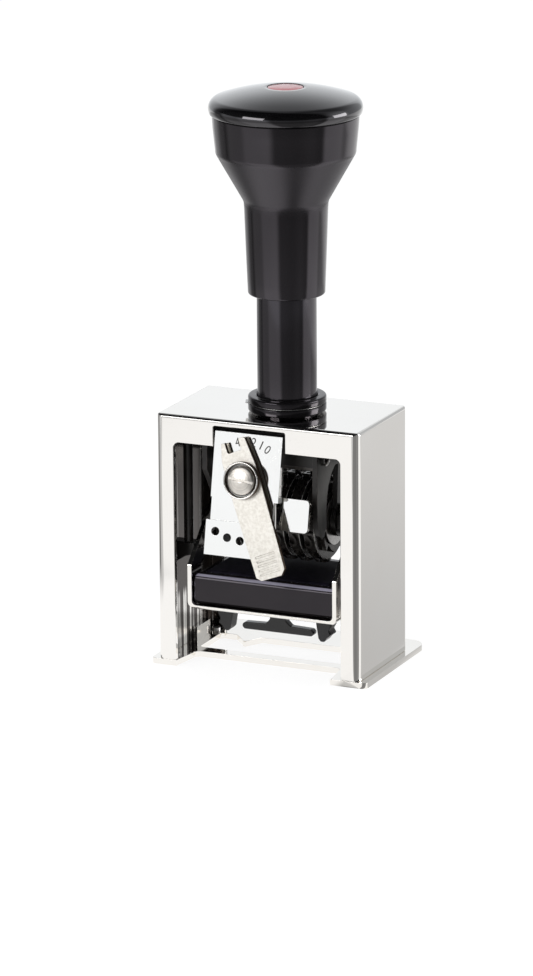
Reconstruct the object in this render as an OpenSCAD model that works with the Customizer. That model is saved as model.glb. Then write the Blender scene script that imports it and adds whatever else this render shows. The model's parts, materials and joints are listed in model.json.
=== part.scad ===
// Hand numbering machine: six number wheels on a plunger carriage inside a bent
// nickel case, with a swinging ink cassette below and a repeat selector in front.
// Origin: centre of the footprint, on the surface the base stands on.
// +Z up, the selector faces -Y. Millimetres.

/* [Case] */
// Width of the case
case_w = 54; // [52:0.5:56]
// Depth of the case
case_d = 30.8; // [30:0.2:32]
// Height of the case top above the table
case_top = 64; // [63:0.5:66]
// Thickness of the case sheet
case_t = 1.5; // [1.2:0.1:1.6]
// Width of the open front and rear
window_w = 44.2; // [42:0.2:46]
// Height of the head of the front and rear openings
window_top = 57.1; // [56:0.1:58]
// Radius of the upright corners
corner_r = 2; // [1.2:0.1:2.4]

/* [Base] */
// Width of the base plate
base_w = 57.6; // [56:0.2:59]
// Thickness of the base plate
base_t = 1.5; // [1.2:0.1:1.5]
// Front edge of the bar that runs between the feet
bar_front = -5.9; // [-7:0.1:-5]
// Rear edge of that bar, where the print window starts
bar_back = -2.4; // [-3:0.1:-2.3]
// Front edge of the rear part, where the print window ends
print_back = 10.6; // [10:0.1:12]

/* [Plunger] */
// Sideways offset of the plunger from the middle of the case
axis_x = 2; // [1:0.1:2.2]
// Offset of the plunger from the middle of the case, front to back
axis_y = -1; // [-1.5:0.1:0]
// Travel of the knob from rest to print
stroke = 25.2; // [20:0.1:25.2]
// Outer radius of the fixed guide tube
tube_r = 7.3; // [7:0.1:7.6]
// Largest radius of the knob
knob_r = 18.75; // [18.25:0.05:19.5]
// Height of the lower end of the knob sleeve
sleeve_z = 93.6; // [93.6:0.1:95]
// Height of the top of the knob
knob_top = 144.7; // [143:0.1:147]

/* [Number wheels] */
// Number of wheels
wheels = 6; // [6:1:6]
// Distance from one wheel to the next
pitch = 4.1; // [4:0.05:4.15]
// Radius to the face of the raised figures
type_r = 11.1; // [10.8:0.1:11.2]
// Height of a figure
figure_h = 4.4; // [4:0.1:4.6]
// Stroke width of a figure
figure_t = 0.5; // [0.4:0.05:0.6]

/* [Selector] */
// Lean of the index plate, its lower end forward
lean = 11; // [9:0.5:12]
// Angle between two neighbouring settings
step = 13.3; // [13:0.1:13.5]
// Angle of the lever at rest, its lower end to the right
lever_tilt = 22.5; // [22:0.5:23]
// Width of the lever
lever_w = 8.2; // [8:0.1:8.4]

/* [Ink cassette] */
// Width of the cassette
cassette_w = 36.9; // [35:0.1:37.1]
// Bottom of the stirrup that carries it
stirrup_z = 15.4; // [15.2:0.1:15.8]
// Swing of the stirrup over the whole stroke
pad_swing = 120; // [116:1:122]

/* [Hidden] */

$fn = 64;
slip = 0.05;                       // running clearance on a radius
half_w = case_w / 2;
half_d = case_d / 2;
inner_w = half_w - case_t;         // inside face of a side wall
under_top = case_top - case_t;     // underside of the case top
base_back = 23.52;
base_corner = 4;                   // rear corners of the base plate
foot_left = -20.9;                 // inner edges of its two front feet
foot_right = 18.4;
nickel = [0.86, 0.84, 0.80];
black = [0.10, 0.10, 0.11];
steel = [0.62, 0.62, 0.64];

// Ring round the plunger, and the tube inside the knob
ring_z = case_top + 0.5;
ring_h = 3.8;
ring_r = 9.6;
tube_top = 104;
tube_bore = 6.2;
bush_top = 68;
thread_r = 6.8;
nut_z = 60.8;
rod_r = 3.5;
spring_top = 129.6;

// Knob heights and radii, from the sleeve up
seam_z = 138.5;
neck_r = 10.25;
neck_z = 115.7;
cone_a = 29.5;                     // slope of the hollow cone under the head
shoulder_r = 17.1;
shoulder_z = 129.15;

// Wheels and the carriage that carries them
wheel_x = 0.3;                     // middle of the row of wheels
wheel_y = 3.6;
wheel_z = 36.8;
rim_r = 10.4;
rim_w = 2.9;
ratchet_r = 8.8;
axle_r = 2.2;
row_half = wheels * pitch / 2;
left_out = -15.5;                  // outer face of the left cheek
right_out = 14.4;                  // outer face of the right cheek
cheek_t = 1.3;
cheek_r = 9.8;
block_z = 52.4;
block_top = 60.2;
block_front = -9;
block_back = 9.4;
side_screws = [[-6.4, 54.4], [6.8, 54.4]];
ear_h = 3.6;
rod_x = [-21.6, 23.2];             // left and right guide rod
ear_r = [3, 2];                    // and the ears that slide on them
rod_y = -8;
guide_r = 1.2;
bracket_top = 30.4;

// Index plate: a pivot point on its front face, and its own tilted frame
pivot_x = -2;
pivot_z = 50.1;
pivot_y = -17.1;
plate_t = 0.8;
lever_t = 1.2;
lever_gap = 0.7;
lever_front = lever_gap + lever_t;

// Stirrup hinge on the case walls
swing_y = 12;
swing_z = 50;
arm_t = 1.1;
arm_left = -18.3;                  // outer faces of the two side plates
arm_right = 21.45;
arm_front_z = 26.1;                // centre of the curve on top of their front ends
front_y = -15.2;                   // front of the cassette
cassette_top = 24.3;
cassette_x = 1.55;
pad_top = 24.7;
pin_r = 1.6;
collar_r = 1.85;
rivet_y = -12.6;
rivet_z = 20.6;

// ---------- shared shapes ----------

module rounded_rect(w, d, r) {
    square([w - 2 * r, d], center = true);
    square([w, d - 2 * r], center = true);
    for (sx = [-1, 1], sy = [-1, 1])
        translate([sx * (w / 2 - r), sy * (d / 2 - r)]) circle(r);
}

// Rectangle from corner a to corner b with every corner rounded
module soft_box(a, b, r) {
    translate([(a[0] + b[0]) / 2, (a[1] + b[1]) / 2])
        rounded_rect(b[0] - a[0], b[1] - a[1], r);
}

// Upright sheet: a shape drawn in X and Z, with its front face at y
module upright(y, t) {
    translate([0, y + t, 0]) rotate([90, 0, 0]) linear_extrude(t) children();
}

// Side sheet: a shape drawn in Y and Z, with its left face at x
module sideways(x, t) {
    translate([x, 0, 0]) rotate([90, 0, 90]) linear_extrude(t) children();
}

// Cylinder along X from x, centred at y and z
module pin_x(x, y, z, r, len) {
    translate([x, y, z]) rotate([0, 90, 0]) cylinder(r = r, h = len);
}

// Slotted or plain screw head with a domed top, pointing up from the origin
module screw_head(r, h, slot) {
    difference() {
        intersection() {
            cylinder(r = r, h = h);
            translate([0, 0, h - 1.8 * r]) sphere(1.8 * r);
        }
        if (slot > 0)
            translate([-r - 1, -slot / 2, h * 0.5]) cube([2 * r + 2, slot, h]);
    }
}

function arc(cx, cy, r, a0, a1, n) =
    [for (i = [0:n]) let (a = a0 + (a1 - a0) * i / n) [cx + r * cos(a), cy + r * sin(a)]];

// ---------- figures ----------
// Each figure is one or two strokes on a grid 4 wide and 8 high.

function unit(v) = v / norm(v);
function side_of(a, b) = let (d = unit(b - a)) [-d[1], d[0]];
function corner_shift(p, i, closed) =
    let (n = len(p),
        before = i > 0 || closed ? side_of(p[(i + n - 1) % n], p[i]) : side_of(p[i], p[i + 1]),
        after = i < n - 1 || closed ? side_of(p[i], p[(i + 1) % n]) : before)
    (before + after) / (1 + before * after);
function beside(p, t, closed) = [for (i = [0:len(p) - 1]) p[i] + t * corner_shift(p, i, closed)];
function backwards(p) = [for (i = [len(p) - 1:-1:0]) p[i]];

module stroke_line(p, t) { polygon(concat(beside(p, t, false), backwards(beside(p, -t, false)))); }
module stroke_loop(p, t) {
    difference() {
        polygon(beside(p, -t, true));
        polygon(beside(p, t, true));
    }
}
module figure_shape(n, t) {
    bowl = [[1, 0], [3, 0], [4, 1.2], [4, 3.4], [3, 4.6], [1, 4.6], [0, 3.4], [0, 1.2]];
    if (n == 0) stroke_loop([[1, 0], [3, 0], [4, 1.5], [4, 6.5], [3, 8], [1, 8], [0, 6.5], [0, 1.5]], t);
    if (n == 1) stroke_line([[0.8, 6.2], [2.2, 8], [2.2, 0]], t);
    if (n == 2) stroke_line([[0, 6.3], [1, 8], [3, 8], [4, 6.6], [4, 5.2], [0.3, 0], [4, 0]], t);
    if (n == 3) stroke_line([[0, 7], [1, 8], [3, 8], [4, 6.8], [4, 5.3], [2.4, 4.2], [4, 3.1],
            [4, 1.2], [3, 0], [1, 0], [0, 1.1]], t);
    if (n == 4) {
        stroke_loop([[3, 2.4], [3, 8], [0, 2.4]], t);
        stroke_line([[3, 3], [3, 0]], t);
        stroke_line([[2, 2.4], [4.3, 2.4]], t);
    }
    if (n == 5) stroke_line([[4, 8], [0.5, 8], [0.2, 4.6], [1.2, 5.1], [3, 5.1], [4, 4],
            [4, 1.3], [3, 0], [1, 0], [0, 1.1]], t);
    if (n == 6) {
        stroke_loop(bowl, t);
        stroke_line([[3.9, 7], [3, 8], [1, 8], [0, 6.5], [0, 2.4]], t);
    }
    if (n == 7) stroke_line([[0, 8], [4, 8], [1.4, 0]], t);
    if (n == 8) {
        stroke_loop(bowl, t);
        stroke_loop([[1.1, 4.6], [2.9, 4.6], [3.8, 5.4], [3.8, 7.1], [2.9, 8], [1.1, 8],
            [0.2, 7.1], [0.2, 5.4]], t);
    }
    if (n == 9) translate([4, 8]) rotate(180) figure_shape(6, t);
}
// A figure h high and w wide, centred, with strokes s wide
module figure_flat(n, h, s) {
    k = (h - s) / 8;
    scale(k) translate([-2, -4]) figure_shape(n, s / k / 2);
}

// ---------- case and base ----------

module case_outline() {
    intersection() {
        translate([0, 0, base_t])
            linear_extrude(case_top - base_t) rounded_rect(case_w, case_d, corner_r);
        upright(-half_d - 1, case_d + 2) soft_box([-half_w, -4], [half_w, case_top], 1);
        sideways(-half_w - 1, case_w + 2) soft_box([-half_d, -4], [half_d, case_top], 1);
    }
}
module case_shell() {
    color(nickel) difference() {
        case_outline();
        translate([0, 0, base_t - 1])
            linear_extrude(under_top - base_t + 1)
                rounded_rect(case_w - 2 * case_t, case_d - 2 * case_t, 0.25);
        // open front and rear
        upright(-half_d - 1, case_d + 2) soft_box([-window_w / 2, -4], [window_w / 2, window_top], 1.3);
        // notch in the front band for the index plate
        upright(-half_d - 1, case_t + 1.5) soft_box([-11.4, window_top - 4], [7.6, 62.3], 0.4);
        // hole for the guide tube
        translate([axis_x, axis_y, under_top - 1]) cylinder(r = thread_r + slip, h = 4);
    }
}

module base_outline() {
    difference() {
        union() {
            soft_box([-base_w / 2, -half_d + 0.1], [base_w / 2, base_back - base_corner], 1.2);
            soft_box([-base_w / 2, print_back], [base_w / 2, base_back], base_corner);
        }
        // step between the feet, a little wider at its mouth
        soft_box([foot_left, -30], [foot_right, bar_front], 1.5);
        polygon([[foot_left, -8], [foot_left - 1, -14], [foot_left - 1, -30], [foot_right + 0.8, -30],
            [foot_right + 0.8, -14], [foot_right, -8]]);
        // print window with its corner radii
        soft_box([-21.6, bar_back], [21.6, print_back], 1);
    }
    // pointer that marks the start of the printed line
    polygon(concat([[-17.2, print_back + 1]], [[-17.2, print_back - 0.1], [-13.9, 6.9]],
        arc(-13.3, 6.7, 0.6, 200, 340, 6), [[-10.4, print_back - 0.1], [-10.4, print_back + 1]]));
}
module base_plate() {
    color(nickel) {
        difference() {
            linear_extrude(base_t) base_outline();
            for (sx = [-1, 1], y = [-12, 12])
                translate([sx * 23.6, y, -1]) cylinder(r = 1.25, h = 4);
        }
        // folded ears that hold the case walls from inside
        for (sx = [-1, 1])
            translate([sx * (inner_w - 0.65) - 0.6, 2, base_t]) cube([1.2, 8, 3.5]);
    }
}
module base_rivets() {
    color(steel) for (sx = [-1, 1], y = [-12, 12])
        translate([sx * 23.6, y, 0.2]) {
            cylinder(r = 1.25, h = base_t - 0.2);
            translate([0, 0, base_t - 0.2]) cylinder(r = 1.1, h = 0.9);
        }
}

// ---------- guide tube and stop ring ----------

module guide_tube() {
    color(black) translate([axis_x, axis_y, 0]) difference() {
        union() {
            translate([0, 0, case_top]) cylinder(r = tube_r, h = tube_top - case_top - 0.8);
            translate([0, 0, tube_top - 0.8]) cylinder(r1 = tube_r, r2 = tube_r - 0.5, h = 0.8);
            translate([0, 0, nut_z]) cylinder(r = thread_r, h = case_top - nut_z + 1);
        }
        translate([0, 0, bush_top]) cylinder(r = tube_bore, h = tube_top);
        translate([0, 0, nut_z - 1]) cylinder(r = rod_r + slip, h = 20);
    }
}
module tube_nut() {
    color(steel) translate([axis_x, axis_y, nut_z]) difference() {
        cylinder(r = 9, h = under_top - nut_z);
        translate([0, 0, -1]) cylinder(r = thread_r + 0.01, h = 5);
        for (a = [0:90:270]) rotate(a) translate([8, -1, -1]) cube([3, 2, 5]);
    }
}
module ring_profile(z0, h, groove) {
    translate([axis_x, axis_y, z0]) rotate_extrude() polygon([
        [tube_r + 0.02, 0], [ring_r - 0.35, 0], [ring_r, 0.35], [ring_r, h - groove],
        [ring_r - groove, h], [tube_r + 0.5, h], [tube_r + 0.02, h - 0.5]]);
}
module stop_ring_lower() {
    color(black) ring_profile(ring_z, ring_h / 2 - 0.1, 0.2);
}
module stop_ring_upper() {
    color(black) ring_profile(ring_z + ring_h / 2 + 0.1, ring_h / 2 - 0.1, 0.4);
}
// Thin wire ring pinched between the two rings, with a short tail at the left
module ring_clip() {
    color(steel) translate([axis_x, axis_y, ring_z + ring_h / 2 - 0.1]) {
        difference() {
            cylinder(r = ring_r - 0.4, h = 0.2);
            translate([0, 0, -1]) cylinder(r = tube_r + 0.02, h = 3);
        }
        rotate(202) translate([ring_r - 1, -1.6, 0]) cube([1.6, 3.2, 0.2]);
    }
}

// ---------- rods and hinge pins inside the case ----------

module guide_rods() {
    color(black) for (x = rod_x)
        translate([x, rod_y, bracket_top]) cylinder(r = guide_r, h = under_top - bracket_top);
}
module rod_brackets() {
    color(black) for (side = [[1, 19.4], [0, arm_right + 0.15]]) mirror([side[0], 0, 0])
        upright(rod_y - 1.9, 3.8) polygon(concat([[inner_w, bracket_top], [side[1], bracket_top]],
            arc(side[1] + 1, bracket_top - 2.2, 1, 180, 270, 6),
            [[side[1] + 2.4, bracket_top - 3.6], [inner_w, bracket_top - 6]]));
}
module swing_pins() {
    color(steel) {
        pin_x(-inner_w, swing_y, swing_z, pin_r, arm_left + arm_t + 1 + inner_w);
        pin_x(arm_right - arm_t - 1, swing_y, swing_z, pin_r, inner_w - arm_right + arm_t + 1);
        pin_x(0.4 - inner_w, swing_y, swing_z, collar_r, arm_left - 0.8 + inner_w);
        pin_x(arm_right + 0.4, swing_y, swing_z, collar_r, inner_w - arm_right - 0.8);
    }
}

// ---------- knob and plunger ----------

module at_axis() { translate([axis_x, axis_y, 0]) children(); }

// Outside of the knob below its seam: sleeve, hollow neck blend, shoulder
function knob_side() = concat(
    arc(8.93, sleeve_z + 0.5, 0.5, -90, 0, 4),
    [[9.9, 106]],
    arc(neck_r + 3, neck_z, 3, 180, 180 - cone_a, 5),
    arc(shoulder_r - 2.2, shoulder_z, 2.2, -cone_a, 0, 6),
    [[17.66, 134.6], [17.9, seam_z]]);

module knob_body() {
    color(black) at_axis() rotate_extrude() polygon(concat(
        knob_side(),
        [[4.2, seam_z], [4.2, 134.2], [rod_r + 0.01, 134.2], [rod_r + 0.01, spring_top + 0.2],
            [tube_r + slip, spring_top + 0.2], [tube_r + slip, sleeve_z]]));
}
module knob_cap() {
    dome_r = 53.7;
    edge = 2.6;
    color([0.03, 0.03, 0.035]) at_axis() difference() {
        rotate_extrude() polygon(concat(
            [[0, seam_z], [knob_r - 0.25, seam_z], [knob_r, seam_z + 0.3]],
            arc(knob_r - edge, seam_z + 1, edge, 0, 72.5, 8),
            arc(0, knob_top - dome_r, dome_r, 72.5, 90, 10)));
        translate([0, 0, knob_top - 1]) cylinder(r = 4.45, h = 2);
        translate([0, 0, seam_z - 1]) cylinder(r = 4.1, h = 2.4);
    }
}
module cap_dot() {
    color([0.80, 0.36, 0.36]) at_axis() intersection() {
        translate([0, 0, knob_top - 1]) cylinder(r = 4.4, h = 2);
        translate([0, 0, knob_top - 53.75]) sphere(53.7, $fn = 200);
    }
}
module plunger_rod() {
    color(steel) at_axis() difference() {
        union() {
            translate([0, 0, block_z + 1]) cylinder(r = rod_r, h = 134.2 - block_z - 1);
            translate([0, 0, block_z]) cylinder(r1 = rod_r - 0.6, r2 = rod_r, h = 1);
        }
        translate([0, 0, 124]) cylinder(r = 1.5, h = 12);
    }
}
module knob_screw() {
    color(steel) at_axis() {
        translate([0, 0, 125]) cylinder(r = 1.5, h = 9.2);
        translate([0, 0, 134.2]) cylinder(r = 3.6, h = 2.4);
    }
}

// Coil of round wire inside the guide tube, standing on its bush
coil_r = 4.9;
wire_r = 0.5;
coil_turns = 15;
module return_spring() {
    around = 14;
    sides = 6;
    low = bush_top + wire_r;
    rise = (spring_top - bush_top - 2 * wire_r) / (coil_turns * around);
    rings = coil_turns * around;
    points = [for (i = [0:rings]) let (a = 360 * i / around)
        for (j = [0:sides - 1]) let (b = 360 * j / sides, r = coil_r + wire_r * cos(b))
            [r * cos(a), r * sin(a), low + i * rise + wire_r * sin(b)]];
    faces = concat(
        [[for (j = [0:sides - 1]) j]],
        [[for (j = [sides - 1:-1:0]) rings * sides + j]],
        [for (i = [0:rings - 1], j = [0:sides - 1]) let (k = (j + 1) % sides, a = i * sides)
            each [[a + j, a + sides + k, a + k], [a + j, a + sides + j, a + sides + k]]]);
    color(steel) at_axis() polyhedron(points, faces, convexity = 10);
}

// ---------- carriage ----------

left_in = left_out + cheek_t;
right_in = right_out - cheek_t;

module carriage_block() {
    color(black) difference() {
        union() {
            translate([left_in, block_front, block_z])
                cube([right_in - left_in, block_back - block_front, block_top - block_z]);
            // ears that slide on the guide rods
            translate([0, 0, block_top - ear_h]) linear_extrude(ear_h) {
                for (i = [0, 1]) translate([rod_x[i], rod_y]) circle(ear_r[i]);
                translate([rod_x[0], rod_y - 0.9]) square([left_in + 1 - rod_x[0], 3.9]);
                translate([right_in - 1, rod_y - 0.9]) square([rod_x[1] - right_in + 1, 2.6]);
            }
        }
        for (x = rod_x) translate([x, rod_y, 50]) cylinder(r = guide_r + slip, h = 12);
        at_axis() translate([0, 0, block_z - 1]) cylinder(r = rod_r + 0.01, h = 12);
        // relief for the guide tube nut, and pockets that lighten the casting
        for (x = [-11.2, 10.8]) translate([x - 1.6, -5, block_z - 1]) cube([3.2, 10.4, 5]);
        for (p = side_screws) {
            pin_x(left_in - 1, p[0], p[1], 0.9, 5);
            pin_x(right_in - 4, p[0], p[1], 0.9, 5);
        }
    }
}

// Outline of a cheek in Y and Z, with its holes for the axle and the screws
module cheek_outline() {
    difference() {
        children();
        translate([wheel_y, wheel_z]) circle(axle_r + 0.01);
        for (p = side_screws) translate(p) circle(0.9);
        // notch for the ear of the block
        translate([rod_y - 1, block_top - ear_h - 0.1]) square([4.1, 6]);
    }
}
module left_cheek() {
    color(black) difference() {
        sideways(left_out, cheek_t) cheek_outline() {
            translate([wheel_y, wheel_z]) circle(cheek_r);
            polygon([[-13, block_z + 7.4], [-13, block_z - 2], [wheel_y - cheek_r, wheel_z + 4],
                [wheel_y - cheek_r, wheel_z], [wheel_y + cheek_r, wheel_z],
                [block_back, block_z - 1], [block_back, block_z + 7.4]]);
        }
        // window in the cheek, as a weight saver
        sideways(left_out - 1, cheek_t + 2) soft_box([-6, 47.4], [7, 50.6], 1.2);
    }
}
// The right one is open beside the wheels: a curved arm in front, a strut to the axle behind
module right_cheek() {
    color(black) sideways(right_out - cheek_t, cheek_t) cheek_outline() {
        translate([wheel_y, wheel_z]) circle(4.4);
        polygon([[-11.4, block_z + 7.4], [-11.4, 44], [-11, 38], [-10.2, 35.8], [-8.6, 34.6], [-6.9, 35.1],
            [-5.6, 37.4], [-5.8, 41], [-5.5, 44], [-4.6, 47], [-2.8, 49.7], [-0.4, 51.4], [1.4, 51.4],
            [0.6, 38.4], [wheel_y + 3, wheel_z - 3], [wheel_y + 4.2, wheel_z + 1],
            [block_back, block_z - 1], [block_back, block_z + 7.4]]);
    }
}
module cheek_screws() {
    color(steel) for (p = side_screws) {
        pin_x(left_out, p[0], p[1], 0.9, 4.6);
        pin_x(right_out - 4.6, p[0], p[1], 0.9, 4.6);
        translate([left_out, p[0], p[1]]) rotate([0, -90, 0]) screw_head(1.7, 0.35, 0);
        translate([right_out, p[0], p[1]]) rotate([0, 90, 0]) screw_head(1.7, 1, 0.4);
    }
}
module wheel_axle() {
    color(steel) pin_x(left_out, wheel_y, wheel_z, axle_r, right_out + 1.6 - left_out);
}
module axle_nuts() {
    color(black) {
        translate([right_out, wheel_y, wheel_z]) rotate([0, 90, 0]) difference() {
            cylinder(r = 3.9, h = 1.5, $fn = 6);
            translate([0, 0, -1]) cylinder(r = axle_r + 0.01, h = 4);
        }
        translate([left_in, wheel_y, wheel_z]) rotate([0, 90, 0]) difference() {
            cylinder(r = 3.4, h = 0.7);
            translate([0, 0, -1]) cylinder(r = axle_r + 0.01, h = 4);
        }
    }
}

// Nickel bracket that joins the index plate to the carriage
bracket_y = -14.3;
bracket_right = 5.4;
bracket_head = 59;
bracket_holes = [-7, 1.6];
module front_bracket() {
    color(nickel) difference() {
        union() {
            upright(bracket_y, 1) union() {
                soft_box([-11.2, 38], [bracket_right, bracket_head], 0.8);
                soft_box([4, 37.6], [13.6, 45.6], 1);
            }
            // flange back to the block on each side
            for (x = [-11.2, bracket_right - 1])
                translate([x, bracket_y + 0.5, 47])
                    cube([1, block_front - bracket_y - 0.5, bracket_head - 47]);
            translate([-11.2, block_front - 0.9, 53]) cube([bracket_right + 11.2, 0.9, bracket_head - 53]);
        }
        for (x = bracket_holes) translate([x, block_front - 2, 56])
            rotate([-90, 0, 0]) cylinder(r = 1.1, h = 3);
    }
}
module bracket_screws() {
    color(steel) for (x = bracket_holes) translate([x, block_front - 0.9, 56]) rotate([90, 0, 0]) {
        screw_head(2, 1.1, 0.5);
        translate([0, 0, -0.9]) cylinder(r = 1.1, h = 1);
    }
}

// Spring fingers over the ratchets, cut from one steel comb
module detent_comb() {
    tip_z = wheel_z + ratchet_r + 0.35;
    color(steel) {
        translate([wheel_x - row_half + 0.4, block_front, block_z - 0.7]) cube([2 * row_half - 0.8, 7, 0.7]);
        for (i = [0:wheels - 1]) translate([ratchet_x(i) + 0.15, 0, 0])
            sideways(0, 0.8) polygon([[-4, block_z - 0.5], [-2.6, block_z - 0.7],
                [wheel_y - 0.4, tip_z + 1.1], [wheel_y + 0.6, tip_z], [wheel_y + 0.2, tip_z],
                [wheel_y - 0.9, tip_z + 1],
                [-3.2, block_z - 1.2], [-4, block_z - 1.1]]);
    }
}

// ---------- number wheels ----------

function wheel_left(i) = wheel_x - row_half + i * pitch + 0.06;
function ratchet_x(i) = wheel_left(i) + rim_w;

module ratchet_outline() {
    polygon([for (k = [0:9]) each [
        [ratchet_r * cos(36 * k), ratchet_r * sin(36 * k)],
        [(ratchet_r - 1.7) * cos(36 * k + 2), (ratchet_r - 1.7) * sin(36 * k + 2)],
        [(ratchet_r - 0.9) * cos(36 * k + 20), (ratchet_r - 0.9) * sin(36 * k + 20)]]]);
}
module number_wheel(i) {
    color(black) translate([wheel_left(i), wheel_y, wheel_z]) {
        rotate([0, 90, 0]) difference() {
            union() {
                cylinder(r = rim_r, h = rim_w, $fn = 96);
                translate([0, 0, rim_w]) linear_extrude(pitch - rim_w - 0.12) ratchet_outline();
            }
            translate([0, 0, -1]) cylinder(r = axle_r + slip, h = pitch + 2);
        }
        for (k = [0:9]) rotate([-36 * k, 0, 0]) translate([rim_w / 2, 0, -type_r])
            linear_extrude(type_r - rim_r + 0.6) figure_flat(k, figure_h, figure_t);
    }
}
module number_wheel_1() { number_wheel(0); }
module number_wheel_2() { number_wheel(1); }
module number_wheel_3() { number_wheel(2); }
module number_wheel_4() { number_wheel(3); }
module number_wheel_5() { number_wheel(4); }
module number_wheel_6() { number_wheel(5); }

// ---------- feed rocker ----------

rocker_r = 13;                     // wheel axle to feed shaft
rocker_a = 42;                     // elevation of the feed shaft behind the axle
shaft_y = wheel_y + rocker_r * cos(rocker_a);
shaft_z = wheel_z + rocker_r * sin(rocker_a);
module rocker_arm(x, hub_r) {
    difference() {
        sideways(x, 0.35) union() {
            translate([wheel_y, wheel_z]) circle(hub_r);
            translate([wheel_y, wheel_z]) rotate(rocker_a) translate([0, -1.9]) square([rocker_r + 2.4, 3.8]);
        }
        pin_x(x - 1, wheel_y, wheel_z, axle_r + slip, 3);
        pin_x(x - 1, shaft_y, shaft_z, 1.01, 3);
    }
}
rocker_left = wheel_x - row_half - 0.5;
rocker_right = wheel_x + row_half + 0.06;
module rocker_yoke() {
    color(steel) {
        rocker_arm(rocker_left, 4.4);
        rocker_arm(rocker_right, 6.6);
        // bridge over the rear of the wheels
        translate([0, wheel_y, wheel_z]) rotate([rocker_a, 0, 0])
            translate([rocker_left, rocker_r + 1.7, -1.9])
                cube([rocker_right + 0.35 - rocker_left, 0.7, 3.8]);
    }
}
module feed_shaft() {
    color(steel) pin_x(rocker_left, shaft_y, shaft_z, 1, rocker_right + 0.35 - rocker_left);
}
module feed_pawls() {
    color(black) for (i = [0:wheels - 1]) translate([ratchet_x(i) + 0.15, 0, 0]) difference() {
        translate([0, wheel_y, wheel_z]) rotate([rocker_a, 0, 0]) sideways(0, 0.8) union() {
            translate([rocker_r, 0]) circle(1.6);
            polygon([[rocker_r - 0.6, 1.6], [rocker_r - 2.6, 3.6], [ratchet_r + 0.3, 5],
                [ratchet_r + 0.35, 3.4], [rocker_r - 1.7, -0.6]]);
        }
        pin_x(-1, shaft_y, shaft_z, 1.01, 3);
    }
}

// ---------- index plate and selector ----------

// Frame of the leaning plate: X across, Z along the plate, origin on its front face
module plate_frame() {
    translate([pivot_x, pivot_y, pivot_z]) rotate([-lean, 0, 0]) children();
}
plate_left = -9;
plate_right = 8.9;
plate_up = 11.2;
step_1 = -4.9;                     // where the plate narrows
step_2 = -10.5;                    // where its lower leaf starts
leaf_right = 7.8;
leaf_end = -19.1;
hole_ring = 15;
hole_shift = 5.5;                  // detent holes stand ahead of the settings by this angle
flange_d = 2.2;                    // edges of the plate bent back
spacer_x = 2.9;

module index_plate() {
    color(nickel) plate_frame() difference() {
        union() {
            upright(0, plate_t) union() {
                translate([plate_left, step_1]) square([plate_right - plate_left, plate_up - step_1]);
                translate([plate_left + 0.3, step_2])
                    square([leaf_right - plate_left - 0.3, step_1 - step_2 + 1]);
            }
            translate([plate_left, 0, plate_up - plate_t])
                cube([plate_right - plate_left, flange_d, plate_t]);
            translate([plate_right - plate_t, 0, step_1]) cube([plate_t, flange_d, plate_up - step_1]);
            // lower leaf, a little wider and standing slightly forward
            upright(-0.2, plate_t) translate([plate_left - 0.7, leaf_end])
                square([leaf_right - plate_left + 0.7, step_2 - leaf_end]);
        }
        for (k = [0:4]) rotate([0, lever_tilt + hole_shift - step * k, 0]) translate([0, -2, -hole_ring])
            rotate([-90, 0, 0]) cylinder(r = 1.05, h = 6);
        rotate([-90, 0, 0]) translate([0, 0, -2]) cylinder(r = 1.61, h = 6);
        for (sx = [-1, 1]) translate([sx * spacer_x, -2, 0.8]) rotate([-90, 0, 0]) cylinder(r = 0.81, h = 6);
    }
}
// Two riveted spacers that hold the plate off the bracket
module plate_spacers() {
    color(steel) intersection() {
        plate_frame() for (sx = [-1, 1]) translate([sx * spacer_x, 0, 0.8]) rotate([-90, 0, 0]) {
            cylinder(r = 0.8, h = plate_t);
            translate([0, 0, plate_t]) cylinder(r = 1.2, h = 4);
        }
        translate([-20, -40, 0]) cube([40, 40 + bracket_y, 80]);
    }
}
module pivot_screw() {
    color(steel) plate_frame() {
        rotate([-90, 0, 0]) translate([0, 0, -lever_front - 0.5]) cylinder(r = 1.6, h = lever_front + 2);
        translate([0, -lever_front - 0.5, 0]) rotate([90, -8, 0]) screw_head(3.6, 1.4, 0.7);
    }
}
// The lever turns in a plane just in front of the plate
module lever_frame() {
    plate_frame() rotate([0, -lever_tilt, 0]) children();
}
lever_tip = -24.9;
head_top = 10;
notch_floor = 7.2;
module selector_lever() {
    w = lever_w / 2;
    color([0.78, 0.76, 0.70]) lever_frame() difference() {
        upright(-lever_front, lever_t) difference() {
            // tongue, hub and head, tapering to both ends
            polygon([[-w + 0.2, lever_tip + 1.2], [-w + 1.3, lever_tip + 0.2], [w - 1.4, lever_tip],
                [w - 0.2, lever_tip + 1.3], [w, -18], [w + 0.3, -3], [w + 0.3, 2.9],
                [w - 0.4, head_top - 0.4], [w - 0.8, head_top], [-w + 1.3, head_top],
                [-w + 1, 8.9], [-w + 0.2, 5.9], [-w - 0.1, 0]]);
            // notch over the chosen number
            polygon([[-1.8, head_top + 1], [-1.8, notch_floor + 0.3], [-1.5, notch_floor],
                [1.9, notch_floor], [1.9, head_top + 1]]);
        }
        rotate([-90, 0, 0]) translate([0, 0, -3]) cylinder(r = 1.6 + slip, h = 4);
        // grip lines across the lower end
        for (z = [-23.6:1.1:-19.2]) translate([-2.6, -lever_front - 1, z]) cube([5.2, 1.15, 0.45]);
    }
}
module pivot_cup() {
    color(nickel) lever_frame() rotate([90, 0, 0]) difference() {
        translate([0, 0, lever_front]) cylinder(r = 4.6, h = 1.5);
        translate([0, 0, lever_front + 0.4]) cylinder(r = 4.15, h = 3);
        cylinder(r = 1.6 + slip, h = 6);
    }
}

// ---------- ink cassette on its stirrup ----------

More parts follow.
